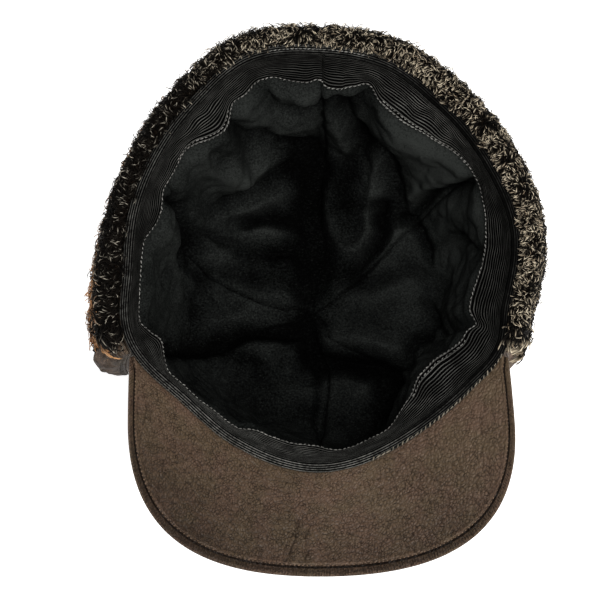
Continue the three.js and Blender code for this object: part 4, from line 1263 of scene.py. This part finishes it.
def hem(side):
    across = np.linspace(0, 1, 40)[:, None]
    along = np.linspace(0, 1, HEM_ROWS)[None, :]
    start = pile_end + math.degrees(GAP / RIM_REACH)
    bearing = side * (start + (flap_end - start) * across)
    along = 0.5 - 0.5 * np.cos(np.pi * along)
    depth = HEM_TOP + (float(flap_drop(flap_end)) - 2 * HEM_TOP) * along
    roll = np.sqrt(1 - (HEM_ROLL * across) ** 2)
    round_ends = (1 - np.abs(2 * along - 1) ** 3.2) ** 0.5
    stand = HEM_SHARE[side] * pile_depth(bearing) * roll * round_ends
    face = outside_point(bearing + 0 * along, depth + 0 * across, flap_face + stand)
    back = outside_point(bearing + 0 * along, depth + 0 * across, flap_face - 0.1 + 0 * stand)
    steps = np.linalg.norm(np.diff(face, axis=1), axis=-1)
    run = np.concatenate([0 * steps[:, :1], np.cumsum(steps, axis=1)], axis=1)
    gathers = np.sin(2 * np.pi * run / HEM_PLEAT + 2.5 * lumps(face, 7, 20)) * (1 - 0.45 * across)
    square = outward(face)
    if (square[20, HEM_ROWS // 2] * (face - back)[20, HEM_ROWS // 2]).sum() < 0:
        square = -square
    lip = 0.5 * np.exp(-(((across - 0.5) / 0.06) ** 2)) - 0.4 * np.exp(-(((across - 0.62) / 0.06) ** 2))
    relief = (0.26 * gathers + lip + 0.15 * lumps(face, 3, 21)) * smooth(stand, 0, 1.5)
    marks = {"gather": 2.8 * np.ones_like(run) * smooth(stand, 0, 1.5), "run": run}
    return face + square * relief[..., None], back, marks


for side, name in ((1, "right"), (-1, "left")):
    hem_face, hem_back, marks = hem(side)
    piece = closed_sheet(f"hem_leather_{name}", hem_face, hem_back, marks=marks)
    dress(piece, flap_hide, "flap_leather", f"flap_hem_{name}")

# Pile
# The flap's lining is dense curled pile, sewn in at the rim and turned over it: dark brown at the root,
# with tips frosted tan, which show most on the right, where the locks are laid outwards. The tips are
# also painted paler on the right and duller on the left as painted light and shade, and warm orange along
# the left's outer edge as a painted rim light.
PILE_RISE = 4.2
PILE_BEVEL = 1.4
PILE_END_SHARE = 0.85
PILE_TAPER = 0.02
# Section from the seam at the rim to the free edge: out as a share of depth, over of PILE_RISE, down of the drop
PILE_SECTION = np.array(
    [
        (0.02, 0.35, 0), (0.16, 0.85, 0), (0.42, 1.0, 0), (0.7, 0.72, 0), (0.9, 0.05, 0), (1.0, 0, 0.14),
        (1.0, 0, 0.34), (1.0, 0, 0.56), (0.97, 0, 0.76), (0.86, 0, 0.91), (0.45, 0, 0.985),
    ]
)
PILE_COLUMNS = 300


def pile_section_rows():
    across = np.linspace(0, 1, PILE_COLUMNS)
    bearing = -pile_end + 2 * pile_end * across
    taper = PILE_END_SHARE + (1 - PILE_END_SHARE) * np.minimum(1, (0.5 - np.abs(across - 0.5)) / PILE_TAPER)
    rows, backs = [], []
    for k, (out, over, low) in enumerate(PILE_SECTION):
        stand = flap_face + out * pile_depth(bearing) * taper * 0.93
        row = outside_point(bearing, low * flap_drop(bearing), stand)
        row[:, 2] += over * PILE_RISE * taper * 0.9
        rows.append(row)
        behind = low * flap_drop(bearing) - PILE_BEVEL * k / (len(PILE_SECTION) - 1)
        backs.append(outside_point(bearing, np.maximum(0, behind), np.full_like(bearing, flap_face)))
    return np.stack(rows, axis=1), np.stack(backs, axis=1), bearing


pile_rows, pile_backs, pile_bearings = pile_section_rows()
PILE_ROWS = 52
pile_face, _ = along_rows(pile_rows, np.linspace(0, 1, PILE_ROWS))
pile_back, _ = along_rows(pile_backs, np.linspace(0, 1, PILE_ROWS))
pile_normal = outward(pile_face)
if pile_normal[PILE_COLUMNS // 2, PILE_ROWS // 2, 1] < 0:
    pile_normal = -pile_normal
tufts = lumps(pile_face, 5, 31) * 0.55 + lumps(pile_face, 2.2, 32) * 0.3
tufts = tufts * smooth(np.arange(PILE_ROWS), 0, 3)
tufts = tufts * (1 - smooth(np.arange(PILE_ROWS), PILE_ROWS - 4, PILE_ROWS - 1))
pile_face = pile_face + pile_normal * tufts[..., None]
pile_base = closed_sheet("pile_base", pile_face, pile_back)
root_pile = Finish("pile_roots", {"Roughness": 0.95, "Specular IOR Level": 0.03})
root_nap = root_pile.mottle(1.1, 3, 0.6)
root_colour = root_pile.blend(root_pile.between(root_nap, 0.35, 0.75), (0.0015, 0.001, 0.0008), (0.014, 0.0095, 0.0065))
root_finish = root_pile.feed(Base_Color=root_colour, Normal=root_pile.relief(root_nap, 0.8))
dress(pile_base, root_finish, "pile", "flap_pile")


def strand(name, curl, sway, rings=5):
    """One curled lock of pile, standing on the origin along +Z and bending to +X, a millimetre in size
    where the lock is a hundred times smaller. Its tip attribute runs from 0 at the root to 1."""
    points, faces, tips = [], [], []
    at, angle, step = np.zeros(3), 0.15, 1.0 / rings
    for ring in range(rings):
        share = ring / rings
        thick = 0.036 * (1 - 0.3 * share)
        across_way = np.array((math.cos(angle), 0, -math.sin(angle)))
        for k in range(3):
            way = across_way * math.cos(k * 2.0944) + np.array((0, 1, 0)) * math.sin(k * 2.0944)
            points.append(at + way * thick)
            tips.append(share)
        at = at + np.array((math.sin(angle), sway * math.sin(share * 5), math.cos(angle))) * step
        angle += curl / rings
    points.append(at)
    tips.append(1.0)
    for ring in range(rings - 1):
        for k in range(3):
            a, b = ring * 3 + k, ring * 3 + (k + 1) % 3
            faces.append((a, b, b + 3, a + 3))
    top = (rings - 1) * 3
    faces += [(top + k, top + (k + 1) % 3, top + 3) for k in range(3)]
    faces.append((2, 1, 0))
    mesh = bpy.data.meshes.new(name)
    mesh.from_pydata([tuple(p) for p in points], [], faces)
    mesh.attributes.new("tip", "FLOAT", "POINT").data.foreach_set("value", tips)
    lock = bpy.data.objects.new(name, mesh)
    scene.collection.objects.link(lock)
    return lock


strands = [strand("lock_a", 1.9, 0.35), strand("lock_b", 3.0, -0.45), strand("lock_c", 4.4, 0.5)]


def lock_tree():
    """Geometry Nodes that set curled locks on a face, laid along its nap."""
    tree = bpy.data.node_groups.new("pile_locks", "GeometryNodeTree")
    tree.interface.new_socket("Backing", in_out="INPUT", socket_type="NodeSocketGeometry")
    for name, kind in (
        ("Density", "NodeSocketFloat"),
        ("Lock length", "NodeSocketFloat"),
        ("Scatter", "NodeSocketFloat"),
        ("Seed", "NodeSocketInt"),
        ("Finish", "NodeSocketMaterial"),
    ):
        tree.interface.new_socket(name, in_out="INPUT", socket_type=kind)
    for lock in strands:
        tree.interface.new_socket(lock.name, in_out="INPUT", socket_type="NodeSocketObject")
    tree.interface.new_socket("Locks", in_out="OUTPUT", socket_type="NodeSocketGeometry")
    grow = Build(tree)
    given = grow.node("NodeGroupInput")
    crowd = grow.node("GeometryNodeInputNamedAttribute", {"data_type": "FLOAT"}, {"Name": "crowd"})
    nap = grow.node("GeometryNodeInputNamedAttribute", {"data_type": "FLOAT_VECTOR"}, {"Name": "nap"})
    reach = grow.node("GeometryNodeInputNamedAttribute", {"data_type": "FLOAT"}, {"Name": "long"})
    spread = grow.node(
        "GeometryNodeDistributePointsOnFaces",
        {"distribute_method": "RANDOM"},
        {"Mesh": given["Backing"], "Density": crowd * given["Density"], "Seed": given["Seed"]},
    )
    jitter = grow.node(
        "FunctionNodeRandomValue",
        {"data_type": "FLOAT_VECTOR"},
        {0: (-1, -1, -1), 1: (1, 1, 1), "Seed": given["Seed"]},
    )
    jitter = grow.node("ShaderNodeVectorMath", {"operation": "SCALE"}, {"Vector": jitter, "Scale": given["Scatter"]})
    way = grow.node("ShaderNodeVectorMath", {"operation": "ADD"}, [spread["Normal"], nap])
    way = grow.node("ShaderNodeVectorMath", {"operation": "ADD"}, [way, jitter])
    stand = grow.node("FunctionNodeAlignRotationToVector", {"axis": "Z"}, {"Vector": way})
    lay = grow.node("ShaderNodeVectorMath", {"operation": "ADD"}, [nap, jitter])
    stand = grow.node(
        "FunctionNodeAlignRotationToVector", {"axis": "X", "pivot_axis": "Z"}, {"Rotation": stand, "Vector": lay}
    )
    shape = [
        grow.node("GeometryNodeObjectInfo", {"transform_space": "ORIGINAL"}, {"Object": given[lock.name]})["Geometry"]
        for lock in strands
    ]
    bundle = grow.node("GeometryNodeGeometryToInstance")
    for wire in shape:
        tree.links.new(wire.socket, bundle.socket.node.inputs[0])
    pick = grow.node(
        "FunctionNodeRandomValue", {"data_type": "INT"}, {0: 0, 1: len(strands) - 1, "Seed": given["Seed"]}
    )
    size = grow.node("FunctionNodeRandomValue", {"data_type": "FLOAT"}, {0: 0.65, 1: 1.25, "Seed": given["Seed"]})
    placed = grow.node(
        "GeometryNodeInstanceOnPoints",
        {},
        {
            "Points": spread,
            "Instance": bundle,
            "Pick Instance": True,
            "Instance Index": pick,
            "Rotation": stand,
            "Scale": size * reach * given["Lock length"],
        },
    )
    chance = grow.node("FunctionNodeRandomValue", {"data_type": "FLOAT"}, {0: 0.0, 1: 1.0, "Seed": 77})
    named = grow.node(
        "GeometryNodeStoreNamedAttribute",
        {"data_type": "FLOAT", "domain": "INSTANCE"},
        {"Geometry": placed, "Name": "chance", "Value": chance},
    )
    real = grow.node("GeometryNodeRealizeInstances", {}, [named])
    real = grow.node("GeometryNodeSetShadeSmooth", {}, {"Geometry": real})
    real = grow.node("GeometryNodeSetMaterial", {}, {"Geometry": real, "Material": given["Finish"]})
    grow.node("NodeGroupOutput", {}, [real])
    return tree


pile_locks = lock_tree()
curl = Finish("frosted_pile", {"Roughness": 0.7, "Specular IOR Level": 0.08})
tip = curl.node("ShaderNodeAttribute", {"attribute_name": "tip"})["Fac"]
chance = curl.node("ShaderNodeAttribute", {"attribute_name": "chance"})["Fac"]
frost = curl.node("ShaderNodeAttribute", {"attribute_name": "frost"})["Fac"]
warm = curl.node("ShaderNodeAttribute", {"attribute_name": "warm"})["Fac"]
# Tips mix real frosting with painted light, painted shade that dulls them on the left and a warm painted rim light.
frosted = curl.between(frost - chance, -0.12, 0.12)
dull = curl.node("ShaderNodeAttribute", {"attribute_name": "dull"})["Fac"]
mid_colour = curl.blend(curl.between(tip, 0.1, 0.9), (0.001, 0.0008, 0.0006), (0.008, 0.0058, 0.0042))
hue = (chance * 7.31).math("FRACT")
hue = hue * hue
tan_colour = curl.blend(hue, (0.85, 0.74, 0.56), (0.28, 0.21, 0.14))
tan_colour = curl.blend(dull, tan_colour, curl.blend(hue, (0.5, 0.46, 0.38), (0.05, 0.043, 0.034)))
tan_colour = curl.blend(warm, tan_colour, curl.blend(hue, (0.66, 0.36, 0.17), (0.26, 0.1, 0.04)))
curl_colour = curl.blend(curl.between(tip + warm * 0.35, 0.45, 0.85) * frosted, mid_colour, tan_colour)
curl_finish = curl.feed(Base_Color=curl_colour)

NAP_LEAN = 0.45
LOCK_LENGTH = 5.6
LOCK_DENSITY = 2.3e6
END_LAY = 9.0


def pile_patch(name, start, end):
    """The part of the pile's face between two bearings, with the lie, crowding and frosting of its locks,
    and their painted light and shade.
    """
    inside = np.where((pile_bearings >= start - 0.3) & (pile_bearings <= end + 0.3))[0]
    face = pile_face[inside]
    columns = len(inside)
    down_way = np.gradient(pile_face, axis=1)[inside]
    round_way = np.gradient(pile_face, axis=0)[inside]
    down_way = down_way / np.linalg.norm(down_way, axis=-1, keepdims=True)
    round_way = round_way / np.linalg.norm(round_way, axis=-1, keepdims=True)
    row = np.arange(PILE_ROWS)[None, :] * np.ones((columns, 1))
    bearing = pile_bearings[inside][:, None] * np.ones_like(row)
    on_top = 1 - smooth(row, PILE_ROWS * 0.26, PILE_ROWS * 0.42)
    swirl = lumps(face, 6, 42)[..., None] * round_way + lumps(face, 6, 43)[..., None] * down_way
    outer = smooth(row, PILE_ROWS * 0.14, PILE_ROWS * 0.26)
    nap = down_way * (NAP_LEAN + 0.8 * outer[..., None]) + swirl * 0.9
    to_end = (pile_end - np.abs(bearing)) * math.radians(RIM_REACH)
    laid_over = 1 - smooth(to_end, 0, END_LAY)
    nap = nap + round_way * (1.5 * np.sign(bearing) * laid_over)[..., None]
    right = smooth(bearing, -56, 6)
    inner = 1 - smooth(row, 1, 9)
    nap = nap - down_way * (1.1 * inner * right)[..., None]
    crowd = (0.17 + 0.83 * on_top) * (1 + 0.6 * inner * right)
    patches = lumps(face, 9, 41)
    # Frosting in random patches, painted paler on the right and at the left's outer edge as painted light.
    frost = 0.05 + (0.74 + 0.12 * inner) * right + 0.2 * patches * (0.25 + right)
    low_left = smooth(-bearing, 84, 104)
    edge_light = smooth(row, PILE_ROWS * 0.13, PILE_ROWS * 0.22)
    frost = frost + (1 - right) * (0.2 + (0.4 + 0.3 * low_left) * edge_light)
    # Painted rim light: warm orange tips along the left's outer edge.
    warm = np.clip((1 - right) * edge_light * (0.6 + 0.5 * low_left + 0.5 * patches), 0, 1)
    # Painted shade: duller tips on the left.
    dull = 1 - right
    fringe = low_left * smooth(row, PILE_ROWS * 0.1, PILE_ROWS * 0.2) * on_top
    long = 1 + (0.8 + 0.6 * right) * laid_over + 0.35 * fringe
    i, j = (grid.ravel() for grid in np.meshgrid(np.arange(columns - 1), np.arange(PILE_ROWS - 1), indexing="ij"))
    a = i * PILE_ROWS + j
    quads = np.stack([a, a + 1, a + PILE_ROWS + 1, a + PILE_ROWS], axis=-1)
    points = face.reshape(-1, 3) / 1000
    way = np.cross(points[quads[0, 1]] - points[quads[0, 0]], points[quads[0, 3]] - points[quads[0, 0]])
    if way @ pile_normal[inside[0], 0] < 0:
        quads = quads[:, ::-1]
    mesh = bpy.data.meshes.new(name + "_backing")
    mesh.from_pydata(points.tolist(), [], quads.tolist())
    for label, values in (("crowd", crowd), ("frost", frost), ("warm", warm), ("dull", dull), ("long", long)):
        mesh.attributes.new(label, "FLOAT", "POINT").data.foreach_set("value", values.ravel().astype(np.float32))
    mesh.attributes.new("nap", "FLOAT_VECTOR", "POINT").data.foreach_set("vector", nap.ravel().astype(np.float32))
    base = bpy.data.objects.new(name + "_backing", mesh)
    scene.collection.objects.link(base)
    values = {"Density": LOCK_DENSITY, "Lock length": LOCK_LENGTH / 1000, "Scatter": 0.55, "Seed": 9}
    values |= {lock.name: lock for lock in strands}
    piece = grown(name, base, pile_locks, {**values, "Finish": curl_finish})
    spare = [a.name for a in piece.data.attributes if a.name in ("nap", "crowd", "long")]
    for label in spare:
        piece.data.attributes.remove(piece.data.attributes[label])
    dress(piece, None, "pile")


PATCH_SPAN = pile_end / 3
for k, name in enumerate(("left", "back_left", "middle_left", "middle_right", "back_right", "right")):
    pile_patch(f"pile_locks_{name}", (k - 3) * PATCH_SPAN, (k - 2) * PATCH_SPAN)
for lock in strands:
    bpy.data.objects.remove(lock)
